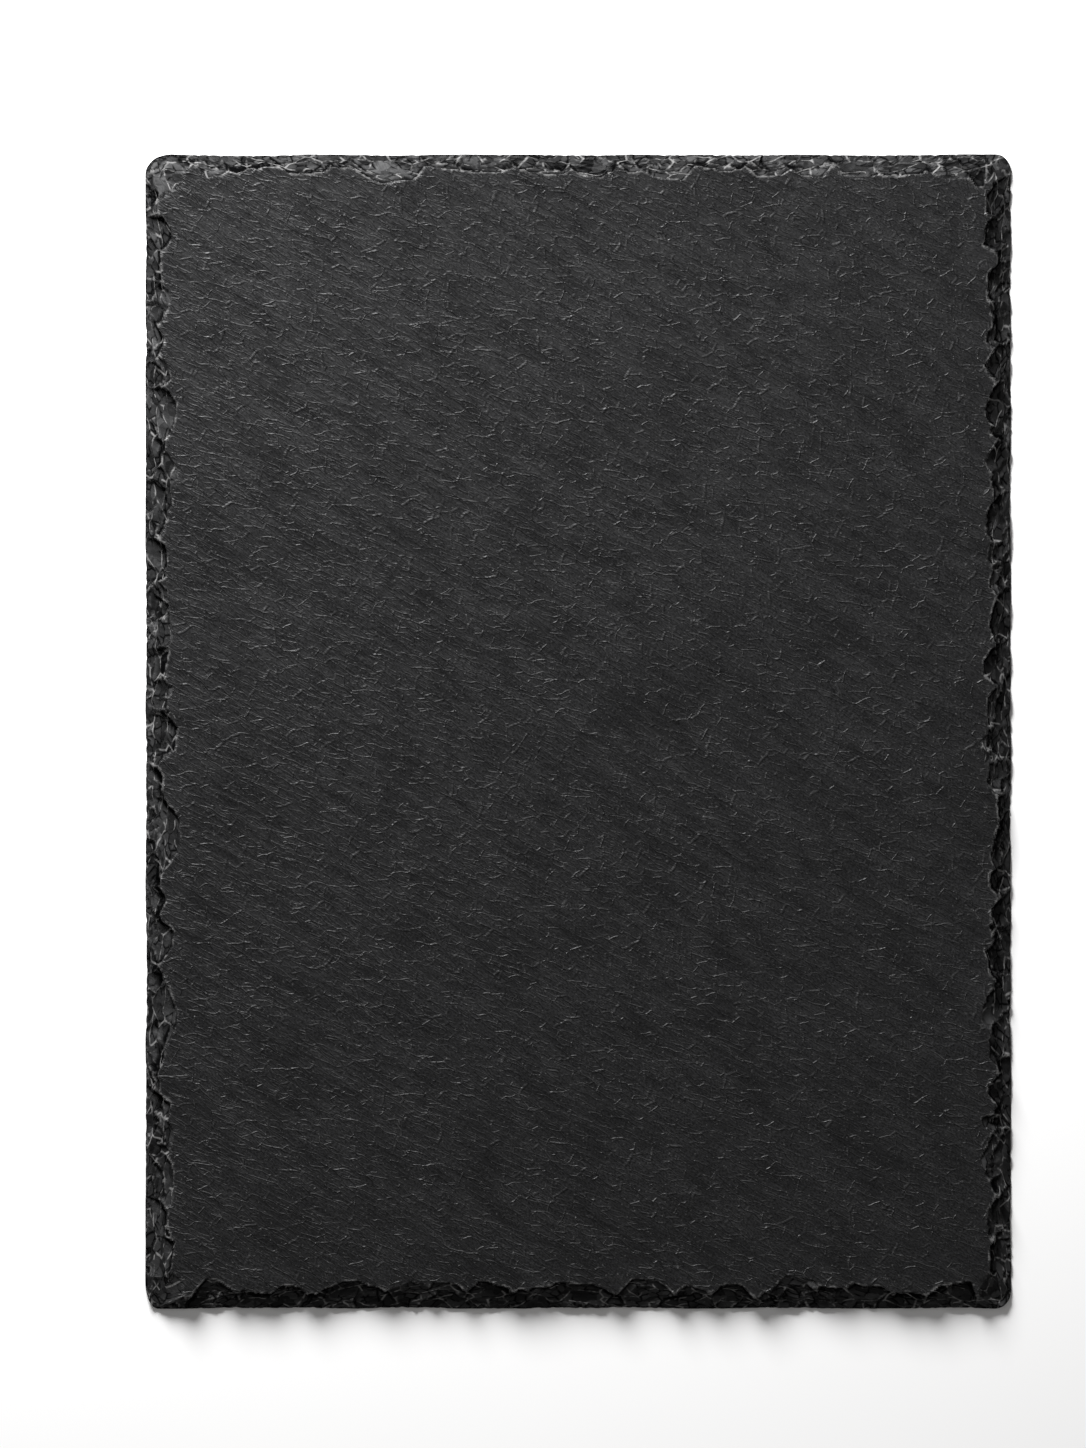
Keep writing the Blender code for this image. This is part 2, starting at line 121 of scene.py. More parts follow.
class Noise:
    """Seeded noise on whole arrays of points in the plane."""

    @staticmethod
    def _lattice(column: np.ndarray, row: np.ndarray, seed: int) -> np.ndarray:
        """A fixed number from 0 to 1 for each whole-numbered point.

        Args:
            column: Whole numbers across.
            row: Whole numbers up.
            seed: Which of the noises it is.

        Returns:
            The bits of the three numbers mixed by multiplying and shifting, as a share of 2 to the 24.
        """
        mixed = (
            column.astype(np.int64) * 374761393 + row.astype(np.int64) * 668265263 + seed * 974634777
        ) & 0xFFFFFFFF
        mixed = ((mixed ^ (mixed >> 13)) * 1274126177) & 0xFFFFFFFF
        mixed = ((mixed ^ (mixed >> 16)) * 2246822519) & 0xFFFFFFFF
        return ((mixed ^ (mixed >> 13)) & 0xFFFFFF) / float(0x1000000)

    @classmethod
    def smooth(cls, x: np.ndarray, y: np.ndarray, seed: int) -> np.ndarray:
        """Gradient noise with one cell per unit.

        Args:
            x: Places across.
            y: Places up.
            seed: Which of the noises it is.

        Returns:
            About -0.7 to 0.7: each lattice point's random slope, blended with a fifth-power fade.
        """
        column = np.floor(x)
        row = np.floor(y)
        part_x = x - column
        part_y = y - row
        fade_x = part_x**3 * (part_x * (part_x * 6.0 - 15.0) + 10.0)
        fade_y = part_y**3 * (part_y * (part_y * 6.0 - 15.0) + 10.0)

        def pull(step_x: int, step_y: int) -> np.ndarray:
            """The height that one lattice corner's slope gives here."""
            turn = 2.0 * math.pi * cls._lattice(column + step_x, row + step_y, seed)
            return np.cos(turn) * (part_x - step_x) + np.sin(turn) * (part_y - step_y)

        low = pull(0, 0) * (1.0 - fade_x) + pull(1, 0) * fade_x
        high = pull(0, 1) * (1.0 - fade_x) + pull(1, 1) * fade_x
        return low * (1.0 - fade_y) + high * fade_y

    @classmethod
    def layered(cls, x: np.ndarray, y: np.ndarray, seed: int, layers: int = 3) -> np.ndarray:
        """Several noises, each twice as fine and half as strong as the one before.

        Args:
            x: Places across.
            y: Places up.
            seed: Which of the noises it is.
            layers: How many noises are added.

        Returns:
            Their sum, about -1 to 1.
        """
        return sum(
            cls.smooth(x * 2.0**layer, y * 2.0**layer, seed + layer) / 2.0**layer for layer in range(layers)
        )

    @classmethod
    def scallops(cls, x: np.ndarray, y: np.ndarray, seed: int) -> np.ndarray:
        """Shallow tilted facets that meet in sharp crests, one facet per unit cell.

        Args:
            x: Places across.
            y: Places up.
            seed: Which of the noises it is.

        Returns:
            The lowest, over the nine nearest cells, of the cell's own slanted plane plus its lift and
            the squared distance to its point: about 0 in a facet and up to about 1 on a crest.
        """
        column = np.floor(x)
        row = np.floor(y)
        lowest = np.full(x.shape, np.inf)
        for step_x in (-1, 0, 1):
            for step_y in (-1, 0, 1):
                home_x = column + step_x
                home_y = row + step_y
                point_x = home_x + cls._lattice(home_x, home_y, seed)
                point_y = home_y + cls._lattice(home_x, home_y, seed + 101)
                lift = 0.4 * cls._lattice(home_x, home_y, seed + 202)
                slant_x = 1.3 * (cls._lattice(home_x, home_y, seed + 303) - 0.5)
                slant_y = 1.3 * (cls._lattice(home_x, home_y, seed + 404) - 0.5)
                away_x = x - point_x
                away_y = y - point_y
                plane = lift + slant_x * away_x + slant_y * away_y
                np.minimum(lowest, plane + 0.7 * (away_x**2 + away_y**2), out=lowest)
        return lowest


def ease(value: np.ndarray, start: float, end: float) -> np.ndarray:
    """A smooth ramp.

    Args:
        value: The values to ramp.
        start: Where the ramp leaves 0.
        end: Where it reaches 1.

    Returns:
        3t² - 2t³ of the share t that each value is past start.
    """
    share = np.clip((value - start) / (end - start), 0.0, 1.0)
    return share * share * (3.0 - 2.0 * share)


def placed(name: str, data: bpy.types.ID) -> bpy.types.Object:
    """A new object in the scene, at the origin.

    Args:
        name: Its name.
        data: Its mesh, light or camera.

    Returns:
        The object.
    """
    made = bpy.data.objects.new(name, data)
    bpy.context.scene.collection.objects.link(made)
    return made


@dataclass(frozen=True)
class SlabSize:
    """The slab's driving dimensions and the outline of its corners, in millimetres."""

    width: float = 300.0
    length: float = 400.0
    thickness: float = 7.0
    far_right: tuple[float, float] = (6.0, 6.0)
    far_left: tuple[float, float] = (9.5, 7.0)
    near_left: tuple[float, float] = (4.5, 10.0)
    near_right: tuple[float, float] = (6.0, 6.5)

    @property
    def half_width(self) -> float:
        """Half of the width."""
        return self.width / 2

    @property
    def half_length(self) -> float:
        """Half of the length."""
        return self.length / 2


@dataclass(frozen=True)
class RivenFace:
    """The upper face, as it split: broad waves, low ledges and the grain's larger wrinkles."""

    size: SlabSize
    drop_width: float = 1.6
    drop_share: float = 0.8
    raggedness: float = 1.3
    lenses: float = 0.10
    creases: float = 0.07
    level_band: float = 15.0
    undulation: tuple[Wave, ...] = (
        Wave(0.16, 0.031, 0.022, 0.4),
        Wave(0.10, -0.047, 0.058, 1.9),
        Wave(0.05, 0.093, 0.101, 4.1),
    )
    wander: tuple[Wave, ...] = (Wave(2.6, 0.041, 0.0, 0.7), Wave(1.7, 0.093, 0.0, 2.2))
    ledges: tuple[Ledge, ...] = (
        Ledge(-105.0, 166.0, 90.0, 30.0, 0.30),
        Ledge(-20.0, 150.0, 80.0, 28.0, 0.28),
        Ledge(75.0, 119.0, 110.0, 34.0, 0.36),
        Ledge(-110.0, 84.0, 105.0, 40.0, 0.42),
        Ledge(-15.0, 61.0, 90.0, 32.0, 0.32),
        Ledge(85.0, 34.0, 110.0, 36.0, 0.34),
        Ledge(-75.0, 3.0, 120.0, 44.0, 0.46),
        Ledge(25.0, -16.0, 115.0, 40.0, 0.42),
        Ledge(115.0, -38.0, 90.0, 30.0, 0.40),
        Ledge(-90.0, -72.0, 110.0, 38.0, 0.36),
        Ledge(70.0, -88.0, 100.0, 36.0, 0.42),
        Ledge(-45.0, -117.0, 105.0, 34.0, 0.34),
        Ledge(60.0, -149.0, 100.0, 30.0, 0.32),
    )

    @staticmethod
    def turned(x: np.ndarray, y: np.ndarray, grain: Grain) -> Pair:
        """Distances along and across a grain.

        Args:
            x: Places across the slab.
            y: Places along the slab.
            grain: The direction to turn to.

        Returns:
            The places turned back by the grain's angle.
        """
        angle = math.radians(grain.value)
        return (
            x * math.cos(angle) + y * math.sin(angle),
            y * math.cos(angle) - x * math.sin(angle),
        )

    @staticmethod
    def _waves(waves: tuple[Wave, ...], along: np.ndarray, across: np.ndarray) -> np.ndarray:
        """The height of several waves together."""
        return sum(
            wave.size * np.sin(wave.pace_along * along + wave.pace_across * across + wave.start)
            for wave in waves
        )

    def _relief(self, x: np.ndarray, y: np.ndarray) -> np.ndarray:
        """Depth of the face below an upper plane.

        Args:
            x: Places across the slab.
            y: Places along the slab.

        Returns:
            Broad waves, plus each ledge's sharp drop that fades back to level, cut short by noise so
            that its edge is broken, plus two layers of stretched noise for the larger wrinkles.
        """
        along, wandering = self.turned(x, y, Grain.LEDGE)
        across = wandering - self._waves(self.wander, along, wandering)
        relief = self._waves(self.undulation, along, across)
        ragged = across + self.raggedness * Noise.layered(along / 7.0, across / 5.0, 31)
        for ledge in self.ledges:
            reach = np.clip(1.0 - (2.0 * (along - ledge.along) / ledge.length) ** 2, 0.0, None)
            below = ledge.line - ragged
            drop = ease(below, 0.0, self.drop_width)
            rise = np.clip(1.0 - (below - self.drop_width) / ledge.fade, 0.0, 1.0)
            relief += self.drop_share * ledge.drop * reach * drop * rise
        lens_along, lens_across = self.turned(x, y, Grain.LENS)
        relief += self.lenses * Noise.layered(lens_along / 26.0, lens_across / 9.0, 41)
        relief += self.creases * np.abs(Noise.layered(lens_along / 13.0, lens_across / 5.0, 47, 2))
        return relief

    def height(self, x: np.ndarray, y: np.ndarray) -> np.ndarray:
        """Height of the face.

        Args:
            x: Places across the slab.
            y: Places along the slab.

        Returns:
            The thickness less the relief, which is levelled so that its highest point inside the rim
            reaches the thickness.
        """
        relief = self._relief(x, y)
        inside = (np.abs(x) < self.size.half_width - self.level_band) & (
            np.abs(y) < self.size.half_length - self.level_band
        )
        return self.size.thickness - np.clip(relief - relief[inside].min(), 0.0, None)


class Profile(NamedTuple):
    """A cut through a scar from its centre to its arris, as shares of its radius and its rise."""

    radius: tuple[float, ...]
    rise: tuple[float, ...]


class Shell(NamedTuple):
    """The surface that one flake left: its scar, and how its floor and its wall rise.

    fall and tilt are the floor's rise inwards and along; wall is the rise at the arris, or 0 where
    the wall reaches up to the slab's thickness; edges are the directions and distances of the arris's
    straight parts, in shares of the scar's half length and bite.
    """

    side: Side
    scar: Scar
    profile: Profile
    fall: float
    tilt: float
    wall: float
    edges: tuple[tuple[float, float], ...]


@dataclass(frozen=True)
class Outline:
    """The slab's outline seen from above, let in here and there by the blows along it."""

    size: SlabSize
    seed: int = 11
    pitch: float = 12.0
    wave: float = 0.45
    flush_every: int = 5

    def _draws(self, chance: random.Random) -> list[np.ndarray]:
        """How far the points of each straight side lie in.

        Args:
            chance: The rim's seeded chance.

        Returns:
            The far, left, near and right side's values, anticlockwise, each with 0 at both ends.
        """
        sides = []
        for length in (self.size.width, self.size.length, self.size.width, self.size.length):
            values = [0.0]
            for index in range(round(length / self.pitch) - 1):
                flush = index % self.flush_every == 0
                values.append(0.0 if flush else chance.uniform(0.0, self.wave))
            sides.append(np.array(values + [0.0]))
        return sides

    def chance(self) -> random.Random:
        """The seeded chance as it stands once the outline and the lower arris are drawn."""
        chance = random.Random(self.seed)
        points = sum(len(values) - 2 for values in self._draws(chance))
        for _ in range(points):
            chance.uniform(0.0, 1.0)
        return chance

    def points(self, x: np.ndarray, y: np.ndarray) -> Pair:
        """Fold a rectangle's border onto the outline.

        Args:
            x: X of the points round the slab's box.
            y: Y of those points.

        Returns:
            The points with each corner square folded onto its elliptical arc, and each straight side
            let in by its drawn waves and by fine nicks.
        """
        radius_x = np.empty_like(x)
        radius_y = np.empty_like(x)
        for (corner_x, corner_y), sign_x, sign_y in self._corners():
            here = (x * sign_x >= 0) & (y * sign_y >= 0)
            radius_x[here] = corner_x
            radius_y[here] = corner_y
        over_x = np.clip(np.abs(x) - (self.size.half_width - radius_x), 0.0, None) / radius_x
        over_y = np.clip(np.abs(y) - (self.size.half_length - radius_y), 0.0, None) / radius_y
        folded = (over_x > 0) & (over_y > 0)
        larger = np.maximum(np.maximum(over_x, over_y), 1e-9)
        eighth = math.pi / 4
        angle = np.where(over_y >= over_x, 2 * eighth - eighth * over_x / larger, eighth * over_y / larger)
        arc_x = np.sign(x) * (self.size.half_width - radius_x + radius_x * np.cos(angle))
        arc_y = np.sign(y) * (self.size.half_length - radius_y + radius_y * np.sin(angle))
        on_end = (np.abs(y) > self.size.half_length - 1e-6) & (over_x == 0)
        on_flank = (np.abs(x) > self.size.half_width - 1e-6) & (over_y == 0)
        bent_x = np.where(folded, arc_x, x)
        bent_y = np.where(folded, arc_y, y)
        waves = self._waves(x, y, on_end, on_flank)
        nicks = np.clip(Noise.layered(x / 2.6, y / 2.6, 7, 2) + 0.15, 0.0, None) * 0.5
        inward = waves + nicks * ease(waves + 0.15, 0.1, 0.35)
        return (
            bent_x - np.sign(x) * inward * (on_flank | folded),
            bent_y - np.sign(y) * inward * (on_end | folded),
        )

    def _corners(self) -> tuple[tuple[tuple[float, float], int, int], ...]:
        """Each corner's radii with the signs of its X and Y."""
        size = self.size
        return (
            (size.far_right, 1, 1), (size.far_left, -1, 1),
            (size.near_left, -1, -1), (size.near_right, 1, -1),
        )

    def _waves(self, x: np.ndarray, y: np.ndarray, on_end: np.ndarray, on_flank: np.ndarray) -> np.ndarray:
        """The drawn waves at the points of the box's border.

        Args:
            x: X of the points.
            y: Y of the points.
            on_end: Which of them lie on the far or near side.
            on_flank: Which of them lie on the left or right side.

        Returns:
            How far each point lies in, 0 round the corners.
        """
        size = self.size
        half_x, half_y = size.half_width, size.half_length
        far, left, near, right = self._draws(random.Random(self.seed))
        spans = (
            (far, x, on_end & (y > 0), half_x - size.far_right[0], size.far_left[0] - half_x),
            (left, y, on_flank & (x < 0), half_y - size.far_left[1], size.near_left[1] - half_y),
            (near, x, on_end & (y < 0), size.near_left[0] - half_x, half_x - size.near_right[0]),
            (right, y, on_flank & (x > 0), size.near_right[1] - half_y, half_y - size.far_right[1]),
        )
        waves = np.zeros_like(x)
        for values, place, here, start, end in spans:
            share = (place[here] - start) / (end - start)
            waves[here] = np.interp(share, np.linspace(0.0, 1.0, values.size), values)
        return waves


@dataclass
class FlakedRim:
    """The dressed rim: the flakes struck from every side, in tiers, and the chips along its outline."""

    size: SlabSize
    outline: Outline
    side_scars: dict[str, tuple[Scar, ...]]
    corner_scars: tuple[CornerScar, ...]
    detail_seed: int = 29
    chipped_share: float = 0.8
    arris_power: float = 2.5
    outer_reach: float = 3.0
    reach_beyond: float = 1.5
    foot: tuple[float, float] = (0.35, 2.0)
    foot_height: float = 1.2
    bevel_slope: float = 0.9655
    angular: float = 0.85
    bend: tuple[tuple[float, float], ...] = ((0.85, 8.0), (0.22, 1.8))
    layer: float = 0.62
    layer_depth: float = 0.75
    facets: tuple[tuple[float, float, int], ...] = ((4.6, 0.42, 91), (2.1, 0.12, 97))
    facet_length: float = 1.7
    crumbs: float = 0.05
    wall_profile: Profile = Profile((0.0, 0.88, 0.93, 1.0, 1.1), (0.0, 0.05, 0.35, 1.0, 2.4))
    slope_profile: Profile = Profile((0.0, 0.62, 1.0, 1.1), (0.0, 0.06, 1.0, 1.4))
    step_profile: Profile = Profile((0.0, 0.60, 0.66, 0.93, 1.0, 1.1), (0.0, 0.05, 0.46, 0.54, 1.0, 2.2))
    dish_profile: Profile = Profile((0.0, 0.66, 1.0, 1.1), (0.0, 0.10, 0.9, 1.4))

    def sides(self) -> dict[str, Side]:
        """The four sides, each with the distance along it counted from its far or left end."""
        right = self.size.half_width
        far = self.size.half_length
        return {
            "far": Side((-right, far), (1.0, 0.0), (0.0, -1.0)),
            "near": Side((-right, -far), (1.0, 0.0), (0.0, 1.0)),
            "left": Side((-right, far), (0.0, -1.0), (1.0, 0.0)),
            "right": Side((right, far), (0.0, -1.0), (-1.0, 0.0)),
        }

    def shells(self) -> list[Shell]:
        """Every flake's surface.

        Returns:
            For each side its main flakes, the lower flakes inside them, a chip where most of them
            meet and a row of nibbles along the outline; then the corners' flakes.
        """
        chance = self.outline.chance()
        detail = random.Random(self.detail_seed)
        found: list[Shell] = []
        for name, side in self.sides().items():
            main = self.side_scars[name]
            flank = name in ("left", "right")
            for scar in main:
                found.append(self._main(side, scar, flank, detail))
                found.extend(self._inner(side, scar, detail))
            for before, after in zip(main, main[1:]):
                if chance.random() > self.chipped_share:
                    continue
                chip = Scar(
                    along=(before.along + after.along) / 2 + chance.uniform(-2.0, 2.0),
                    half=chance.uniform(5.0, 8.5),
                    bite=chance.uniform(4.2, 6.6),
                    lean=chance.uniform(-0.3, 0.3),
                    floor=chance.uniform(0.5, 1.1),
                )
                tilt = detail.uniform(-0.16, 0.16)
                found.append(Shell(side, chip, self.dish_profile, 0.30, tilt, 3.4, self._edges(detail)))
            found.extend(self._nibbles(side, self.size.length if flank else self.size.width, detail))
        for corner in self.corner_scars:
            side = self._corner_side(corner)
            scar = Scar(0.0, corner.half, corner.bite, 0.0, corner.floor)
            found.append(Shell(side, scar, self.slope_profile, 0.14, 0.0, 0.0, self._edges(detail)))
            found.extend(self._inner(side, scar, detail))
        return found

    def _corner_side(self, scar: CornerScar) -> Side:
        """The frame that a corner's flake was struck in: it starts at the box's own corner."""
        angle = math.radians(scar.inward_degrees)
        inward = (math.cos(angle), math.sin(angle))
        start = (scar.across * self.size.half_width, scar.away * self.size.half_length)
        return Side(start, (inward[1], -inward[0]), inward)

    def _main(self, side: Side, scar: Scar, flank: bool, detail: random.Random) -> Shell:
        """A main flake, whose wall reaches up to the face.

        Args:
            side: The side it was struck from.
            scar: Its sizes.
            flank: Whether it is on the left or right side, where the floors rise towards the viewer.
            detail: The seeded chance of the finer shapes.

        Returns:
            Its surface.
        """
        tilt = detail.uniform(0.04, 0.15) if flank else detail.uniform(-0.09, 0.09)
        kinds = (self.wall_profile, self.wall_profile, self.step_profile, self.slope_profile)
        fall = detail.uniform(0.24, 0.36)
        return Shell(side, scar, detail.choice(kinds), fall, tilt, 0.0, self._edges(detail))

    @staticmethod
    def _edges(detail: random.Random) -> tuple[tuple[float, float], ...]:
        """The straight parts of an arris: five directions in radians, each with its distance."""
        return tuple(
            (math.radians(degrees + detail.uniform(-14.0, 14.0)), detail.uniform(0.80, 1.0))
            for degrees in (6.0, 46.0, 90.0, 134.0, 174.0)
        )

    def _inner(self, side: Side, scar: Scar, detail: random.Random) -> list[Shell]:
        """Lower flakes inside a main flake's scar.

        Args:
            side: The side they were struck from.
            scar: The main flake.
            detail: The seeded chance of the finer shapes.

        Returns:
            One to three surfaces, the more the longer the flake is.
        """
        found = []
        for _ in range(1 + (scar.half > 9.0) + (scar.half > 13.0)):
            half = max(scar.half * detail.uniform(0.35, 0.7), 3.0)
            bite = max(scar.bite * detail.uniform(0.42, 0.86), 2.5)
            along = scar.along + detail.uniform(-0.65, 0.65) * scar.half
            floor = max(scar.floor - detail.uniform(0.15, 0.85), 0.7)
            small = Scar(along, half, bite, scar.lean + detail.uniform(-0.3, 0.3), floor)
            kind = detail.choice((self.wall_profile, self.slope_profile, self.dish_profile))
            fall, tilt = detail.uniform(0.2, 0.42), detail.uniform(-0.22, 0.24)
            wall = detail.uniform(1.2, 2.6)
            found.append(Shell(side, small, kind, fall, tilt, wall, self._edges(detail)))
        return found

    def _nibbles(self, side: Side, length: float, detail: random.Random) -> list[Shell]:
        """The row of small chips along the outline.

        Args:
            side: The side they were struck from.
            length: The side's length.
            detail: The seeded chance of the finer shapes.

        Returns:
            Their surfaces, some 5 mm apart.
        """
        found = []
        along = detail.uniform(3.0, 7.0)
        while along < length - 4.0:
            half = detail.uniform(1.8, 4.6)
            bite = half * detail.uniform(0.55, 1.15)
            scar = Scar(along, half, bite, detail.uniform(-0.5, 0.5), detail.uniform(0.75, 1.7))
            fall, tilt = detail.uniform(0.2, 0.6), detail.uniform(-0.3, 0.3)
            found.append(Shell(side, scar, self.slope_profile, fall, tilt, 1.8, self._edges(detail)))
            along += detail.uniform(2.5, 7.5)
        return found

    def _lower(self, lowest: np.ndarray, x: np.ndarray, y: np.ndarray, shell: Shell) -> None:
        """Cut one flake's surface into the heights.

        Its floor is a plane. Its wall rises by the profile at a radius that mixes an arch,
        ((along / half)^p + (inwards / bite)^p)^(1/p), with the farthest reach past a straight edge.

        Args:
            lowest: The heights so far, changed in place.
            x: Places across the slab.
            y: Places along the slab.
            shell: The flake's surface.
        """
        side, scar = shell.side, shell.scar
        away_x = x - (side.start[0] + side.forward[0] * scar.along)
        away_y = y - (side.start[1] + side.forward[1] * scar.along)
        inwards = away_x * side.inward[0] + away_y * side.inward[1]
        along = away_x * side.forward[0] + away_y * side.forward[1] - scar.lean * inwards
        reached = (np.abs(along) < scar.half * self.reach_beyond) & (inwards < scar.bite * self.reach_beyond)
        near = np.flatnonzero(reached & (inwards > -2.0 * self.outer_reach))
        inwards, along = inwards[near], along[near]
        reach = np.where(inwards > 0.0, scar.bite, self.outer_reach)
        power = self.arris_power
        arch = ((np.abs(along) / scar.half) ** power + (np.abs(inwards) / reach) ** power) ** (1.0 / power)
        straight = np.zeros_like(arch)
        for turn, distance in shell.edges:
            beyond = math.cos(turn) * along / scar.half + math.sin(turn) * inwards / reach
            np.maximum(straight, beyond / distance, out=straight)
        radius = (1.0 - self.angular) * arch + self.angular * straight
        radii, rises = shell.profile
        steepest = (rises[-1] - rises[-2]) / (radii[-1] - radii[-2])
        rise = np.interp(radius, radii, rises) + steepest * np.clip(radius - radii[-1], 0.0, None)
        ground = scar.floor + shell.fall * np.clip(inwards, 0.0, None)
        ground += shell.tilt * np.clip(along, -scar.half, scar.half)
        top = self.size.thickness
        wall = shell.wall if shell.wall > 0.0 else np.clip(top - ground, 0.6, None)
        lowest[near] = np.minimum(lowest[near], ground + wall * rise)

    def height(self, x: np.ndarray, y: np.ndarray, face: np.ndarray) -> np.ndarray:
        """Height of the slab with its rim flaked.

        Args:
            x: Places across the slab.
            y: Places along the slab.
            face: Height of the riven face there.

        Returns:
            The lowest of the face, the bevel and every flake's surface, read at places that noise has
            pushed about a little, with thin layers and small facets where it lies below the face.
        """
        inset = np.minimum(self.size.half_width - np.abs(x), self.size.half_length - np.abs(y))
        (wide, slow), (narrow, fast) = self.bend
        bent_x, bent_y = (
            place
            + wide * Noise.layered(x / slow, y / slow, seed)
            + narrow * Noise.smooth(x / fast, y / fast, seed + 6)
            for place, seed in ((x, 61), (y, 71))
        )
        bevel = np.where(
            inset < self.foot[0],
            self.foot_height + inset * (self.foot[1] - self.foot_height) / self.foot[0],
            self.foot[1] + (inset - self.foot[0]) * self.bevel_slope,
        )
        lowest = np.minimum(face, bevel)
        for shell in self.shells():
            self._lower(lowest, bent_x, bent_y, shell)
        return self._detailed(x, y, lowest, face)

    def _detailed(self, x: np.ndarray, y: np.ndarray, height: np.ndarray, face: np.ndarray) -> np.ndarray:
        """Thin layers, small facets and crumbs on the broken stone.

        Args:
            x: Places across the slab.
            y: Places along the slab.
            height: Height of the plain flakes.
            face: Height of the riven face.

        Returns:
            The height with, in patches, the edges of thin layers made into small cliffs; less two
            sizes of facet; never above the face.
        """
        broken = ease(face - height, 0.05, 0.8)
        patches = ease(Noise.layered(x / 19.0, y / 19.0, 83), -0.15, 0.35)
        layers = height / self.layer + 0.9 * Noise.layered(x / 21.0, y / 21.0, 87)
        share = layers - np.floor(layers)
        cliff = self.layer * self.layer_depth * (ease(share, 0.35, 0.65) - share)
        height = height + broken * patches * cliff
        from_flank = self.size.half_width - np.abs(x)
        from_end = self.size.half_length - np.abs(y)
        flank = ease(from_end - from_flank, -3.0, 3.0)
        for cell, depth, seed in self.facets:
            long = cell * self.facet_length
            at_flank = Noise.scallops(x / cell, y / long, seed)
            at_end = Noise.scallops(x / long, y / cell, seed + 3)
            facets = np.clip(at_flank * flank + at_end * (1.0 - flank), 0.0, 1.0)
            height = height - broken * depth * (0.8 - facets)
        height = height + broken * self.crumbs * Noise.layered(x / 1.4, y / 1.4, 103, 2)
        return np.minimum(height, face)


def scars(*rows: tuple[float, float, float, float, float]) -> tuple[Scar, ...]:
    """A side's scars from their plain rows of numbers."""
    return tuple(Scar(*row) for row in rows)


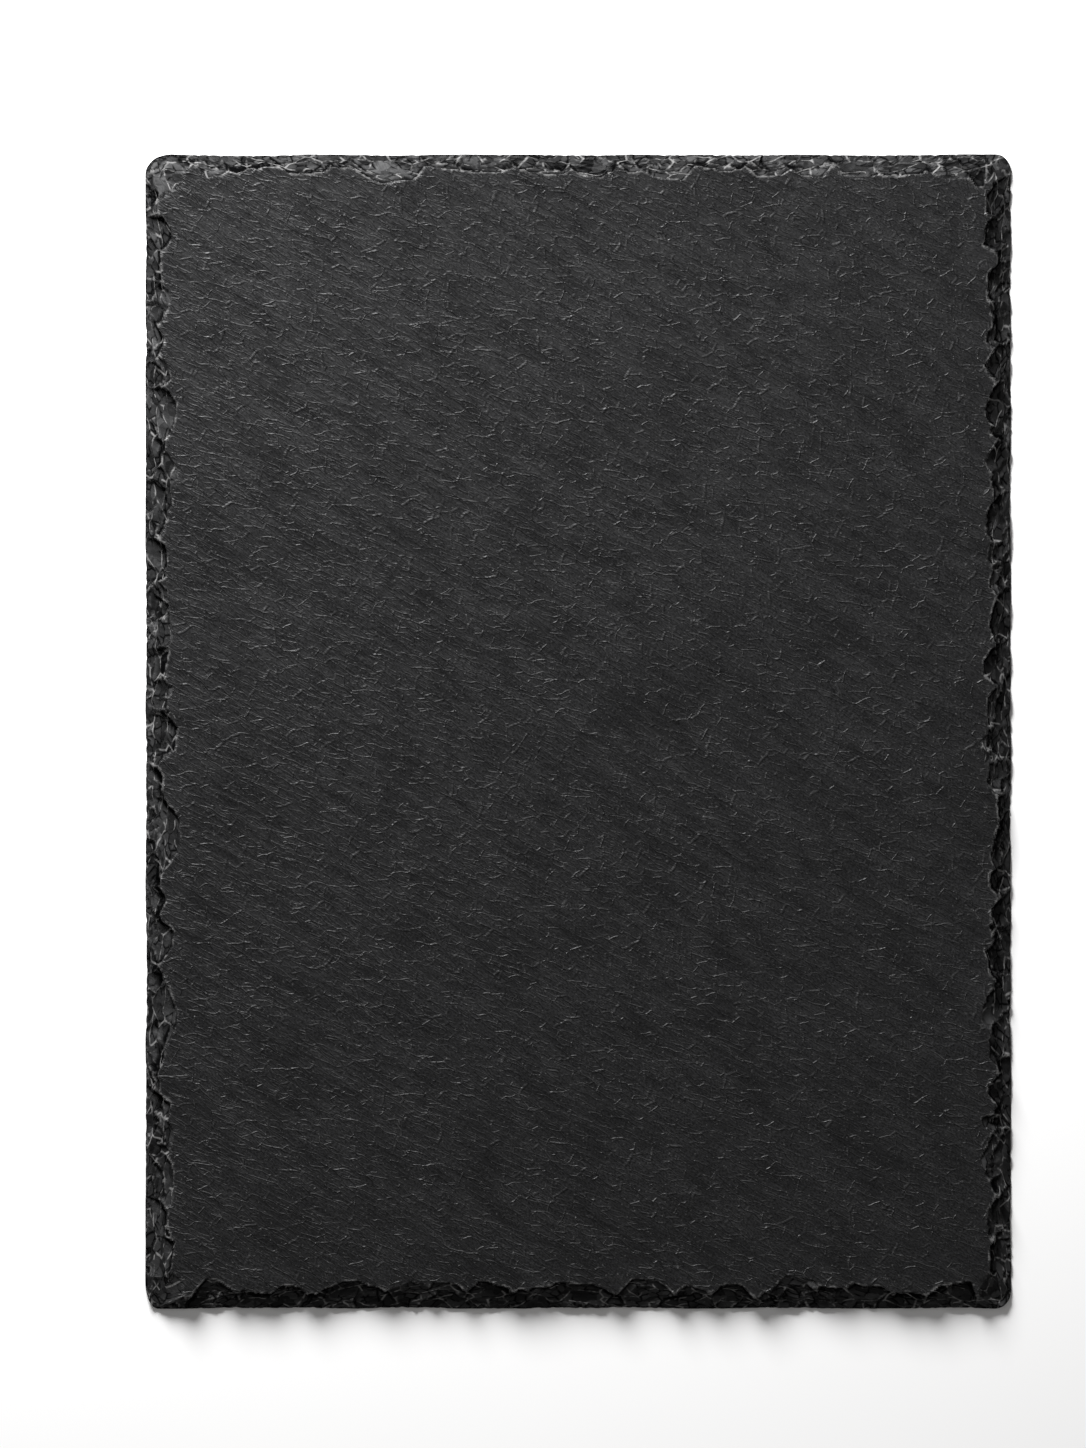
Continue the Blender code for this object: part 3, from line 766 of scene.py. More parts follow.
SIDE_SCARS = {
    "far": scars(
        (25.0, 9.0, 8.6, 0.0, 2.0), (38.0, 8.5, 6.8, 0.1, 1.6), (55.0, 11.0, 8.6, 0.1, 1.9),
        (68.0, 6.0, 5.6, 0.2, 1.3), (84.0, 16.5, 10.8, 0.0, 2.2), (104.5, 9.0, 6.6, 0.0, 1.4),
        (120.0, 10.5, 8.7, 0.0, 1.8), (139.0, 12.0, 9.2, 0.0, 2.0), (155.0, 10.5, 9.0, 0.0, 1.8),
        (170.0, 8.0, 7.2, 0.1, 1.6), (182.0, 11.5, 10.6, -0.1, 2.1), (199.0, 10.0, 6.8, 0.0, 1.5),
        (216.0, 12.0, 9.6, 0.0, 2.0), (231.0, 9.0, 9.8, 0.0, 1.9), (248.0, 13.0, 10.4, 0.0, 2.2),
        (262.0, 12.0, 9.6, 0.0, 1.9), (281.0, 13.0, 15.4, 0.2, 3.0),
    ),
    "near": scars(
        (25.5, 10.0, 11.4, -0.1, 2.0), (37.0, 9.0, 7.4, 0.0, 1.4), (49.0, 9.0, 9.4, 0.0, 1.8),
        (70.0, 15.5, 11.0, 0.05, 2.2), (91.5, 13.0, 12.0, 0.0, 2.2), (105.0, 9.5, 11.0, -0.2, 1.7),
        (119.5, 10.0, 11.0, -0.1, 2.0), (131.0, 7.0, 7.2, 0.0, 1.5), (148.0, 18.0, 11.6, 0.0, 2.4),
        (174.0, 14.0, 11.2, 0.0, 2.1), (190.0, 9.5, 9.6, 0.0, 1.7), (203.0, 11.0, 10.2, 0.0, 1.9),
        (225.0, 13.5, 12.2, 0.0, 2.3), (238.0, 8.5, 9.8, -0.1, 1.6), (250.0, 13.0, 9.6, -0.1, 2.0),
        (264.5, 9.5, 6.8, 0.0, 1.4), (279.0, 10.0, 10.6, 0.1, 2.0),
    ),
    "left": scars(
        (28.5, 8.5, 10.2, 0.0, 2.0), (37.5, 7.5, 6.6, 0.0, 1.3), (50.5, 10.0, 11.4, 0.0, 2.2),
        (64.0, 9.0, 7.2, 0.0, 1.5), (77.0, 8.5, 9.2, -0.1, 1.7), (90.5, 11.5, 12.8, 0.0, 2.2),
        (102.5, 7.5, 8.2, 0.0, 1.5), (119.0, 16.5, 14.0, -0.15, 2.5), (140.5, 9.0, 8.8, 0.0, 1.6),
        (153.0, 8.0, 9.6, 0.0, 1.8), (164.5, 13.5, 11.2, 0.0, 2.1), (178.0, 9.5, 8.4, 0.0, 1.5),
        (186.0, 6.5, 10.6, 0.0, 1.7), (202.0, 15.0, 14.4, -0.2, 2.4), (217.0, 9.0, 8.2, 0.0, 1.5),
        (236.0, 18.0, 14.2, -0.1, 2.5), (258.5, 9.0, 8.6, 0.0, 1.6), (271.5, 10.0, 10.6, 0.0, 1.9),
        (287.0, 7.0, 8.8, 0.0, 1.5), (302.0, 18.5, 11.8, -0.1, 2.3), (322.0, 7.5, 6.0, 0.0, 1.3),
        (330.5, 7.5, 9.6, 0.0, 1.6), (341.5, 12.0, 13.2, 0.0, 2.3), (357.5, 12.5, 12.4, -0.1, 2.1),
        (369.0, 9.5, 8.8, 0.0, 1.6), (380.5, 9.0, 12.0, 0.0, 2.2),
    ),
    "right": scars(
        (16.0, 8.0, 10.0, 0.15, 2.0), (26.0, 9.0, 11.0, 0.2, 2.1), (35.0, 7.0, 7.2, 0.2, 1.4),
        (44.0, 9.5, 9.2, 0.2, 1.9), (54.0, 8.0, 8.8, 0.1, 1.6), (62.5, 7.0, 10.2, 0.1, 1.8),
        (73.0, 9.5, 9.6, 0.1, 1.9), (88.5, 11.5, 9.6, 0.1, 2.0), (105.5, 11.0, 10.2, 0.15, 2.0),
        (117.0, 8.0, 8.4, 0.1, 1.6), (127.5, 9.5, 10.2, 0.05, 1.9), (137.5, 7.5, 9.4, 0.1, 1.7),
        (147.0, 8.5, 8.0, 0.0, 1.5), (161.0, 12.5, 8.8, 0.1, 1.9), (177.5, 9.0, 10.4, -0.05, 1.9),
        (191.5, 10.5, 10.2, 0.1, 2.0), (212.5, 14.5, 13.0, -0.35, 2.5), (227.0, 9.0, 5.8, 0.0, 1.3),
        (240.5, 11.0, 8.4, 0.1, 1.8), (251.5, 7.0, 8.8, 0.1, 1.6), (265.0, 10.0, 8.2, 0.0, 1.7),
        (277.5, 9.5, 10.2, 0.1, 1.9), (293.0, 10.5, 11.6, 0.3, 2.2), (309.0, 11.5, 9.2, 0.0, 1.9),
        (324.5, 8.5, 8.4, 0.0, 1.6), (334.0, 5.0, 11.2, 0.1, 1.8), (346.0, 11.0, 11.6, 0.1, 2.1),
        (357.0, 8.5, 8.0, 0.0, 1.5), (368.0, 10.5, 10.4, 0.1, 2.0), (383.5, 10.5, 9.4, 0.0, 1.9),
    ),
}

CORNER_SCARS = (
    CornerScar(-1, 1, -45.0, 15.5, 21.5, 3.4),
    CornerScar(-1, 1, -22.0, 9.0, 11.0, 2.0),
    CornerScar(-1, 1, -66.0, 11.5, 10.0, 1.8),
    CornerScar(1, 1, 225.0, 12.0, 15.5, 2.6),
    CornerScar(1, 1, 190.0, 9.5, 9.5, 1.8),
    CornerScar(-1, -1, 52.0, 14.0, 21.0, 2.8),
    CornerScar(-1, -1, 20.0, 10.5, 11.5, 1.9),
    CornerScar(-1, -1, 75.0, 11.0, 10.5, 1.8),
    CornerScar(1, -1, 128.0, 13.0, 16.5, 2.4),
    CornerScar(1, -1, 160.0, 9.5, 10.0, 1.8),
)


@dataclass
class SlateSlab:
    """The whole slab as one closed skin: a fine rim, an even face and a plain underside."""

    size: SlabSize
    outline: Outline
    face: RivenFace
    rim: FlakedRim
    cells_across: int = 124
    cells_along: int = 164
    rim_split: int = 4
    fine_band: float = 13.0
    fine_rows: int = 25
    band: float = 17.0
    easing_rows: int = 4
    seam: float = 0.9
    under_split: int = 4
    under_margin: float = 8.0
    arris_inset: tuple[float, float] = (0.5, 1.3)
    arris_rings: tuple[tuple[float, float], ...] = ((0.3, 0.45), (1.0, 0.0))
    least_edge: float = 0.35
    near_share: float = 0.65
    broken_depths: tuple[float, float] = (0.12, 0.6)
    crest_rises: tuple[float, float] = (0.12, 0.34)
    hollow_depths: tuple[float, float] = (0.06, 0.35)
    steep_normals: tuple[float, float] = (-0.88, -0.60)
    sharp_degrees: float = 19.0
    map_margin: float = 0.004

    def _rectangle(self, half_x: float, half_y: float, split: int) -> Pair:
        """Evenly spaced points round a rectangle, anticlockwise from its near left corner.

        Args:
            half_x: Half of its width.
            half_y: Half of its length.
            split: Points for each of the face's cells.

        Returns:
            Their X and Y.
        """
        across = np.linspace(-half_x, half_x, self.cells_across * split + 1)
        along = np.linspace(-half_y, half_y, self.cells_along * split + 1)
        ends = np.full(across.size - 1, half_y)
        flanks = np.full(along.size - 1, half_x)
        x = np.concatenate([across[:-1], flanks, across[:0:-1], -flanks])
        y = np.concatenate([-ends, along[:-1], ends, along[:0:-1]])
        return x, y

    def _insets(self) -> np.ndarray:
        """Distances of the rim's rows from the outline: even at first, then wider."""
        fine = np.linspace(0.0, self.fine_band, self.fine_rows)
        easing = np.linspace(self.fine_band, self.band, self.easing_rows + 1)[1:]
        return np.concatenate([fine, easing])

    def _round_about(self) -> np.ndarray:
        """Distance round the slab's box of each point of a ring, from the near left corner."""
        x, y = self._rectangle(self.size.half_width, self.size.half_length, self.rim_split)
        steps = np.hypot(np.diff(x), np.diff(y))
        return np.concatenate([[0.0], np.cumsum(steps)])

    def _rim_points(self) -> Pair:
        """X and Y of the rim's rows, from the outline to the border of the face's grid."""
        outer_x, outer_y = self.outline.points(
            *self._rectangle(self.size.half_width, self.size.half_length, self.rim_split)
        )
        inner_x, inner_y = self._rectangle(
            self.size.half_width - self.band, self.size.half_length - self.band, self.rim_split
        )
        share = (self._insets() / self.band)[:, None]
        return outer_x + (inner_x - outer_x) * share, outer_y + (inner_y - outer_y) * share

    def _grid(self, half_x: float, half_y: float, split: int = 1) -> Pair:
        """X and Y of an even grid over a rectangle.

        Args:
            half_x: Half of the rectangle's width.
            half_y: Half of its length.
            split: How many of the face's cells each of its cells spans.

        Returns:
            Two arrays, one row of each for every step along.
        """
        return np.meshgrid(
            np.linspace(-half_x, half_x, self.cells_across // split + 1),
            np.linspace(-half_y, half_y, self.cells_along // split + 1),
        )

    @staticmethod
    def _grid_quads(index: np.ndarray) -> np.ndarray:
        """A grid's cells as quads that face up."""
        return np.stack([index[:-1, :-1], index[:-1, 1:], index[1:, 1:], index[1:, :-1]], -1).reshape(-1, 4)

    @staticmethod
    def _border(index: np.ndarray) -> np.ndarray:
        """A grid's border, anticlockwise from its near left corner, each point once."""
        return np.concatenate([index[0, :-1], index[:-1, -1], index[-1, :0:-1], index[:0:-1, 0]])

    @staticmethod
    def _seam_faces(fine: np.ndarray, coarse: np.ndarray, split: int) -> np.ndarray:
        """Faces that join a ring to one with fewer points.

        Args:
            fine: The outer ring.
            coarse: The inner ring.
            split: How many outer points belong to each inner one.

        Returns:
            One face for each step of the inner ring, facing up.
        """
        outer = fine.reshape(-1, split)
        after = np.roll(fine, -split).reshape(-1, split)[:, :1]
        return np.concatenate([outer, after, np.roll(coarse, -1)[:, None], coarse[:, None]], axis=1)

    @staticmethod
    def _ring_quads(outer: np.ndarray, inner: np.ndarray) -> np.ndarray:
        """Quads between two rings of the same count, facing up where inner lies inside outer."""
        return np.stack([outer, np.roll(outer, -1), np.roll(inner, -1), inner], axis=1)

    def _split(self, quads: np.ndarray, points: np.ndarray) -> np.ndarray:
        """Split the rim's quads along the diagonal that lies closer to the flaked surface.

        Args:
            quads: The quads' corners.
            points: All points so far.

        Returns:
            Two triangles for each quad.
        """
        middle = points[quads].mean(axis=1)
        face = self.face.height(middle[:, 0], middle[:, 1])
        true = self.rim.height(middle[:, 0], middle[:, 1], face)
        heights = points[quads, 2]
        first = np.abs((heights[:, 0] + heights[:, 2]) / 2 - true)
        second = np.abs((heights[:, 1] + heights[:, 3]) / 2 - true)
        a, b, c, d = quads.T
        turn = first <= second
        lower = np.where(turn[:, None], np.stack([a, b, c], 1), np.stack([a, b, d], 1))
        upper = np.where(turn[:, None], np.stack([a, c, d], 1), np.stack([b, c, d], 1))
        return np.concatenate([lower, upper])

    def _ridges(self, height: np.ndarray) -> np.ndarray:
        """How sharply each rim point stands above its neighbours, below 0 in a crease.

        Args:
            height: Heights of the rim's points, one row for each distance from the outline.

        Returns:
            The point's height less the mean of its neighbours' one and two steps away.
        """
        rows = np.concatenate([height[:1], height[:1], height, height[-1:], height[-1:]])
        near = (np.roll(height, 1, 1) + np.roll(height, -1, 1) + rows[1:-3] + rows[3:-1]) / 4
        wide = (np.roll(height, 2, 1) + np.roll(height, -2, 1) + rows[:-4] + rows[4:]) / 4
        return height - self.near_share * near - (1.0 - self.near_share) * wide

    def build(self) -> bpy.types.Object:
        """Make the slab's object.

        Returns:
            A closed mesh with the values that its finish reads stored at its points.
        """
        inside = self.band + self.seam
        rim_x, rim_y = self._rim_points()
        grid_x, grid_y = self._grid(self.size.half_width - inside, self.size.half_length - inside)
        x = np.concatenate([rim_x.ravel(), grid_x.ravel()])
        y = np.concatenate([rim_y.ravel(), grid_y.ravel()])
        face = self.face.height(x, y)
        height = np.maximum(self.rim.height(x, y, face), self.least_edge)
        height[rim_x.size :] = face[rim_x.size :]
        upper = np.stack([x, y, height], axis=1)

        rings = np.arange(rim_x.size).reshape(rim_x.shape)
        grid = rim_x.size + np.arange(grid_x.size).reshape(grid_x.shape)
        quads = np.concatenate([self._ring_quads(*pair) for pair in zip(rings, rings[1:])])
        seams = self._seam_faces(rings[-1], self._border(grid), self.rim_split)
        looking_up = self._split(quads, upper).tolist() + self._grid_quads(grid).tolist() + seams.tolist()
        lower, looking_down, under_ring = self._underside(upper[: rim_x.shape[1]], len(upper))
        walls = self._ring_quads(under_ring, rings[0]).tolist()
        points = np.concatenate([upper, lower])
        mesh = bpy.data.meshes.new(SKIN)
        mesh.from_pydata(points * MM, [], looking_up + walls + looking_down)
        self._mark(mesh, rim_x.shape, face, height)
        self._lay_out(mesh, points, len(looking_up))
        mesh.shade_smooth()
        mesh.set_sharp_from_angle(angle=math.radians(self.sharp_degrees))
        piece = placed(SKIN, mesh)
        self._report(piece)
        return piece

    def _mark(
        self, mesh: bpy.types.Mesh, rim: tuple[int, int], face: np.ndarray, height: np.ndarray
    ) -> None:
        """Store at the points what the finish reads.

        That is broken, which is 1 where a flake came away; crest, which is 1 on a sharp ridge; hollow,
        which is 1 in a crease; steep, which is 1 on a wall; and strip, the distances round the slab
        and in from its outline. On the lower side only the arris carries the strip on, and only its
        first ring is broken.

        Args:
            mesh: The skin, whose first points are the rim's, row by row from the outline.
            rim: How many rows the rim has, and how many points are in a row.
            face: Height of the riven face at each point of the upper side.
            height: Height of the skin at those points.
        """
        rows, around = rim
        upper, total = len(height), len(mesh.vertices)
        ridge = np.zeros(upper)
        ridge[: rows * around] = self._ridges(height[: rows * around].reshape(rim)).ravel()
        # The finish paints shade where hollow and steep are high, and paints crests pale, partly as wear and
        # partly as painted highlight.
        for name, above, below in (
            ("broken", ease(face - height, *self.broken_depths), 1.0),
            ("crest", ease(ridge, *self.crest_rises), 0.0),
            ("hollow", ease(-ridge, *self.hollow_depths), 0.0),
        ):
            whole = np.zeros(total)
            whole[:upper] = above
            whole[upper : upper + around] = below
            self._store(mesh, name, whole)
        normals = np.empty(total * 3)
        mesh.vertex_normals.foreach_get("vector", normals)
        self._store(mesh, "steep", ease(-normals[2::3], *self.steep_normals))
        strip = np.zeros((total, 3))
        strip[: rows * around, 0] = np.tile(self._round_about(), rows)
        strip[: rows * around, 1] = np.repeat(self._insets(), around)
        for ring in range(len(self.arris_rings)):
            first = upper + ring * around
            strip[first : first + around, 0] = self._round_about()
            strip[first : first + around, 1] = -(ring + 1.0)
        self._store(mesh, "strip", strip * MM)

    @staticmethod
    def _store(mesh: bpy.types.Mesh, name: str, values: np.ndarray) -> None:
        """Store a value or a triple at each point of a mesh, under a name."""
        kind, key = ("FLOAT", "value") if values.ndim == 1 else ("FLOAT_VECTOR", "vector")
        mesh.attributes.new(name, kind, "POINT").data.foreach_set(key, values.astype(np.float32).ravel())

    def _underside(self, outline: np.ndarray, start: int) -> tuple[np.ndarray, list[list[int]], np.ndarray]:
        """The chipped lower arris and the flat underside.

        Args:
            outline: The upper skin's outermost ring.
            start: The index of the first new point.

        Returns:
            The new points, their faces, and the ring to join to the outline.
        """
        x, y, z = outline.T
        middle_x = self.size.half_width - self.band
        middle_y = self.size.half_length - self.band
        in_x, in_y = self._rectangle(middle_x, middle_y, self.rim_split)
        least, most = self.arris_inset
        chip = least + (most - least) * ease(Noise.layered(x / 3.1, y / 3.1, 15), -0.6, 0.6)
        rings = []
        for share, lift in self.arris_rings:
            move = share * chip / np.hypot(in_x - x, in_y - y)
            rings.append(np.stack([x + (in_x - x) * move, y + (in_y - y) * move, z * lift], axis=1))
        flat_x, flat_y = self._rectangle(middle_x + self.under_margin, middle_y + self.under_margin, 1)
        rings.append(np.stack([flat_x, flat_y, np.zeros_like(flat_x)], axis=1))
        ids = []
        for ring in rings:
            ids.append(start + np.arange(len(ring)))
            start += len(ring)
        grid_x, grid_y = self._grid(middle_x, middle_y, self.under_split)
        flat = np.stack([grid_x.ravel(), grid_y.ravel(), np.zeros(grid_x.size)], axis=1)
        grid = start + np.arange(grid_x.size).reshape(grid_x.shape)
        faces = (
            self._ring_quads(ids[1], ids[0]).tolist()
            + self._grid_quads(grid)[:, (0, 3, 2, 1)].tolist()
            + self._seam_faces(ids[1], ids[2], self.rim_split)[:, ::-1].tolist()
            + self._seam_faces(ids[2], self._border(grid), self.under_split)[:, ::-1].tolist()
        )
        return np.concatenate([*rings, flat]), faces, ids[0]

    def _lay_out(self, mesh: bpy.types.Mesh, points: np.ndarray, upper: int) -> None:
        """Add a map of the skin: the upper side in full height, and beside it the lower side.

        Args:
            mesh: The skin.
            points: Its points in millimetres.
            upper: How many of its faces look up; the walls and the underside come after them.
        """
        corners = np.empty(len(mesh.loops), dtype=np.int32)
        mesh.loops.foreach_get("vertex_index", corners)
        starts = np.empty(len(mesh.polygons), dtype=np.int32)
        mesh.polygons.foreach_get("loop_start", starts)
        below = (np.arange(corners.size) >= starts[upper])[:, None]
        half = np.array([self.size.half_width, self.size.half_length])
        place = points[corners, :2]
        large = (1.0 - 2 * self.map_margin) / (2 * half[1])
        used = 2 * half[0] * large + 2 * self.map_margin
        small = (1.0 - used - self.map_margin) / (2 * half[0])
        above_map = self.map_margin + (place + half) * large
        below_map = (used, self.map_margin) + (place * (-1, 1) + half) * small
        layer = mesh.uv_layers.new(name="OFBake")
        layer.uv.foreach_set("vector", np.where(below, below_map, above_map).astype(np.float32).ravel())

    @staticmethod
    def _report(piece: bpy.types.Object) -> None:
        """Log how many triangles the skin has and whether it is closed."""
        shell = bmesh.new()
        shell.from_mesh(piece.data)
        loose = sum(1 for edge in shell.edges if not edge.is_contiguous)
        volume = shell.calc_volume(signed=True) / MM**3
        triangles = sum(len(polygon.vertices) - 2 for polygon in piece.data.polygons)
        LOG.info("%s: %d triangles, %d loose edges, %.0f mm3", piece.name, triangles, loose, volume)
        shell.free()


class Patches(NamedTuple):
    """Patches of noise: their size in millimetres, and the noise's detail, roughness and distortion.

    ramp holds the noise values at which a smooth ramp of it starts and ends, and the results there.
    """

    along: float
    across: float
    detail: float
    ramp: tuple[float, ...] = ()
    roughness: float = 0.6
    distortion: float = 0.0


class Chips(NamedTuple):
    """Facets of the broken stone: their size, tilt and random lift in millimetres.

    The tilt is how far a facet rises over one cell, and line is the half width, in cells, of the line
    along its border.
    """

    along: float
    across: float
    tilt: float
    lift: float
    line: float


class NodeTree:
    """A short way to write a shader's nodes.

    bend_length is how much longer than wide the bends of bent coordinates are, and bend_along how far
    they are pushed along for each unit across.
    """

    bend_length: float = 1.6
    bend_along: float = 0.6

    def __init__(self, tree: bpy.types.ShaderNodeTree) -> None:
        """Wrap a material's tree, which has its Principled BSDF in place."""
        self.tree = tree
        self.shader = tree.nodes["Principled BSDF"]

    def feed(self, target: Socket, value: object) -> None:
        """Link a socket or set a plain value.

        Args:
            target: The input to fill.
            value: A socket, a number or a colour.
        """
        if isinstance(value, Socket):
            self.tree.links.new(value, target)
        elif isinstance(value, tuple) and target.type == "RGBA":
            target.default_value = (*value, 1.0)
        else:
            target.default_value = value

    def add(
        self, kind: str, settings: dict[str, str] | None = None, inputs: dict[str | int, object] | None = None
    ) -> bpy.types.Node:
        """Add a node.

        Args:
            kind: Blender's name for its kind.
            settings: Its own settings, by name.
            inputs: What to feed to its inputs, by name or by place.

        Returns:
            The node.
        """
        node = self.tree.nodes.new(kind)
        for name, setting in (settings or {}).items():
            setattr(node, name, setting)
        for name, value in (inputs or {}).items():
            self.feed(node.inputs[name], value)
        return node

    def attribute(self, name: str, output: str = "Fac") -> Socket:
        """The value stored on the mesh's points under a name."""
        return self.add("ShaderNodeAttribute", {"attribute_name": name}).outputs[output]

    def vector(self, operation: str, *values: object) -> bpy.types.Node:
        """A vector sum of sockets or triples, by the name of Blender's operation."""
        return self.add("ShaderNodeVectorMath", {"operation": operation}, dict(enumerate(values)))

    def turned(self, place: Socket, grain: Grain) -> Socket:
        """Coordinates turned so that their X runs along a grain."""
        inputs = {"Vector": place, "Angle": math.radians(-grain.value)}
        return self.add("ShaderNodeVectorRotate", {"rotation_type": "Z_AXIS"}, inputs).outputs["Vector"]

    def squeezed(self, place: Socket, along: float, across: float) -> Socket:
        """Coordinates counted in cells of a size in millimetres, along and across."""
        counts = (1.0 / (along * MM), 1.0 / (across * MM), 1.0 / (along * MM))
        return self.vector("MULTIPLY", place, counts).outputs["Vector"]

    def bent(self, place: Socket, bends: float, wander: float) -> Socket:
        """Coordinates pushed mostly across by noise.

        Args:
            place: Coordinates in metres.
            bends: The size of the noise's bends across, in millimetres.
            wander: The whole width that it pushes within across, in millimetres.

        Returns:
            The coordinates plus the noise, which runs from 0 to 1, times wander; a smaller share of
            wander along.
        """
        push = self.noise(self.squeezed(place, self.bend_length * bends, bends), 0.5, output="Color")
        reach = (self.bend_along * wander * MM, wander * MM, 0.0)
        return self.vector("MULTIPLY_ADD", push, reach, place).outputs["Vector"]

    def chips(self, place: Socket, size: Chips) -> tuple[Socket, Socket, Socket]:
        """Small flat facets, each tilted its own way, with sharp edges between them.

        Args:
            place: Coordinates in metres.
            size: The facets' sizes.

        Returns:
            The facets' height, which is a slanted plane plus a lift for each; a random level from 0 to
            1 for each; and the lines along their borders.
        """
        place = self.squeezed(place, size.along, size.across)
        cells = self.cells(place, "F1")
        color = cells.outputs["Color"]
        double = 2.0 * size.tilt
        slant = self.vector("MULTIPLY_ADD", color, (double, double, 0.0), (-size.tilt, -size.tilt, 0.0))
        away = self.vector("SUBTRACT", place, cells.outputs["Position"])
        plane = self.vector("DOT_PRODUCT", away.outputs["Vector"], slant.outputs["Vector"])
        level = self.add("ShaderNodeSeparateColor", inputs={"Color": color}).outputs["Blue"]
        height = self.math("ADD", plane.outputs["Value"], self.product(level, size.lift))
        return height, level, self.ramp(self.border(place), 0.0, size.line, 1.0, 0.0)

    def cells(self, place: Socket, feature: str) -> bpy.types.Node:
        """Random cells of about one unit in the plane."""
        settings = {"voronoi_dimensions": "2D", "feature": feature}
        return self.add("ShaderNodeTexVoronoi", settings, {"Vector": place, "Scale": 1.0})

    def border(self, place: Socket) -> Socket:
        """The distance to the nearest border between random cells."""
        return self.cells(place, "DISTANCE_TO_EDGE").outputs["Distance"]

    def noise(
        self,
        place: Socket,
        detail: float,
        roughness: float = 0.5,
        distortion: float = 0.0,
        *,
        output: str = "Fac",
    ) -> Socket:
        """A noise texture's value or colour, from 0 to 1 about 0.5, with one cell per unit."""
        inputs = {"Vector": place, "Scale": 1.0, "Detail": detail}
        inputs |= {"Roughness": roughness, "Distortion": distortion}
        return self.add("ShaderNodeTexNoise", {"noise_dimensions": "2D"}, inputs).outputs[output]

    def math(self, operation: str, *values: object) -> Socket:
        """Values worked out two by two.

        Args:
            operation: Blender's name for the operation.
            values: Sockets and numbers.

        Returns:
            The first value worked out with the second, that with the third, and so on.
        """
        total = values[0]
        for value in values[1:]:
            node = self.add("ShaderNodeMath", {"operation": operation}, {0: total, 1: value})
            total = node.outputs["Value"]
        return total

    def product(self, *values: object) -> Socket:
        """Sockets and numbers multiplied together."""
        return self.math("MULTIPLY", *values)

    def highest(self, *values: object) -> Socket:
        """The largest of some sockets and numbers."""
        return self.math("MAXIMUM", *values)

    def patchy(self, place: Socket, patches: Patches) -> Socket:
        """A value that changes from patch to patch of noise."""
        cells = self.squeezed(place, patches.along, patches.across)
        noise = self.noise(cells, patches.detail, patches.roughness, patches.distortion)
        return self.ramp(noise, *patches.ramp) if patches.ramp else noise

    def ramp(self, value: Socket, start: float, end: float, low: float = 0.0, high: float = 1.0) -> Socket:
        """A smooth ramp of a value from low at start to high at end."""
        inputs = {"Value": value, "From Min": start, "From Max": end, "To Min": low, "To Max": high}
        return self.add("ShaderNodeMapRange", {"interpolation_type": "SMOOTHSTEP"}, inputs).outputs["Result"]

    def mix(self, share: object, first: object, second: object) -> Socket:
        """A mix of two colours.

        Args:
            share: How much of the second it holds.
            first: A colour or its socket.
            second: Another.

        Returns:
            The mixed colour.
        """
        node = self.add("ShaderNodeMix", {"data_type": "RGBA"}, {"Factor": share})
        colors = (socket for socket in node.inputs if socket.type == "RGBA")
        for target, color in zip(colors, (first, second)):
            self.feed(target, color)
        return next(socket for socket in node.outputs if socket.type == "RGBA")

    def bump(self, height: Socket, distance: float) -> None:
        """Let a height in units of distance bend the shader's normal."""
        node = self.add("ShaderNodeBump", inputs={"Strength": 1.0, "Distance": distance, "Height": height})
        self.feed(self.shader.inputs["Normal"], node.outputs["Normal"])


class Crests(NamedTuple):
    """Thin raised wrinkles that wander along a grain and fade in and out.

    The cells are those whose borders the wrinkles follow, and the patches the places where they show,
    in millimetres. netted tells whether they are the borders of whole cells or the level lines of
    noise. wander is how far finer noise bends them, over bends of a size, both in millimetres. width
    is their half width in cells, height their height in millimetres, shown the noise value from which
    they show, and pale how strongly their tops are painted paler, partly as wear and partly as painted
    highlight.
    """

    grain: Grain
    cell_along: float
    cell_across: float
    patch_along: float
    patch_across: float
    netted: bool
    bends: float
    wander: float
    width: float
    height: float
    shown: float
    pale: float


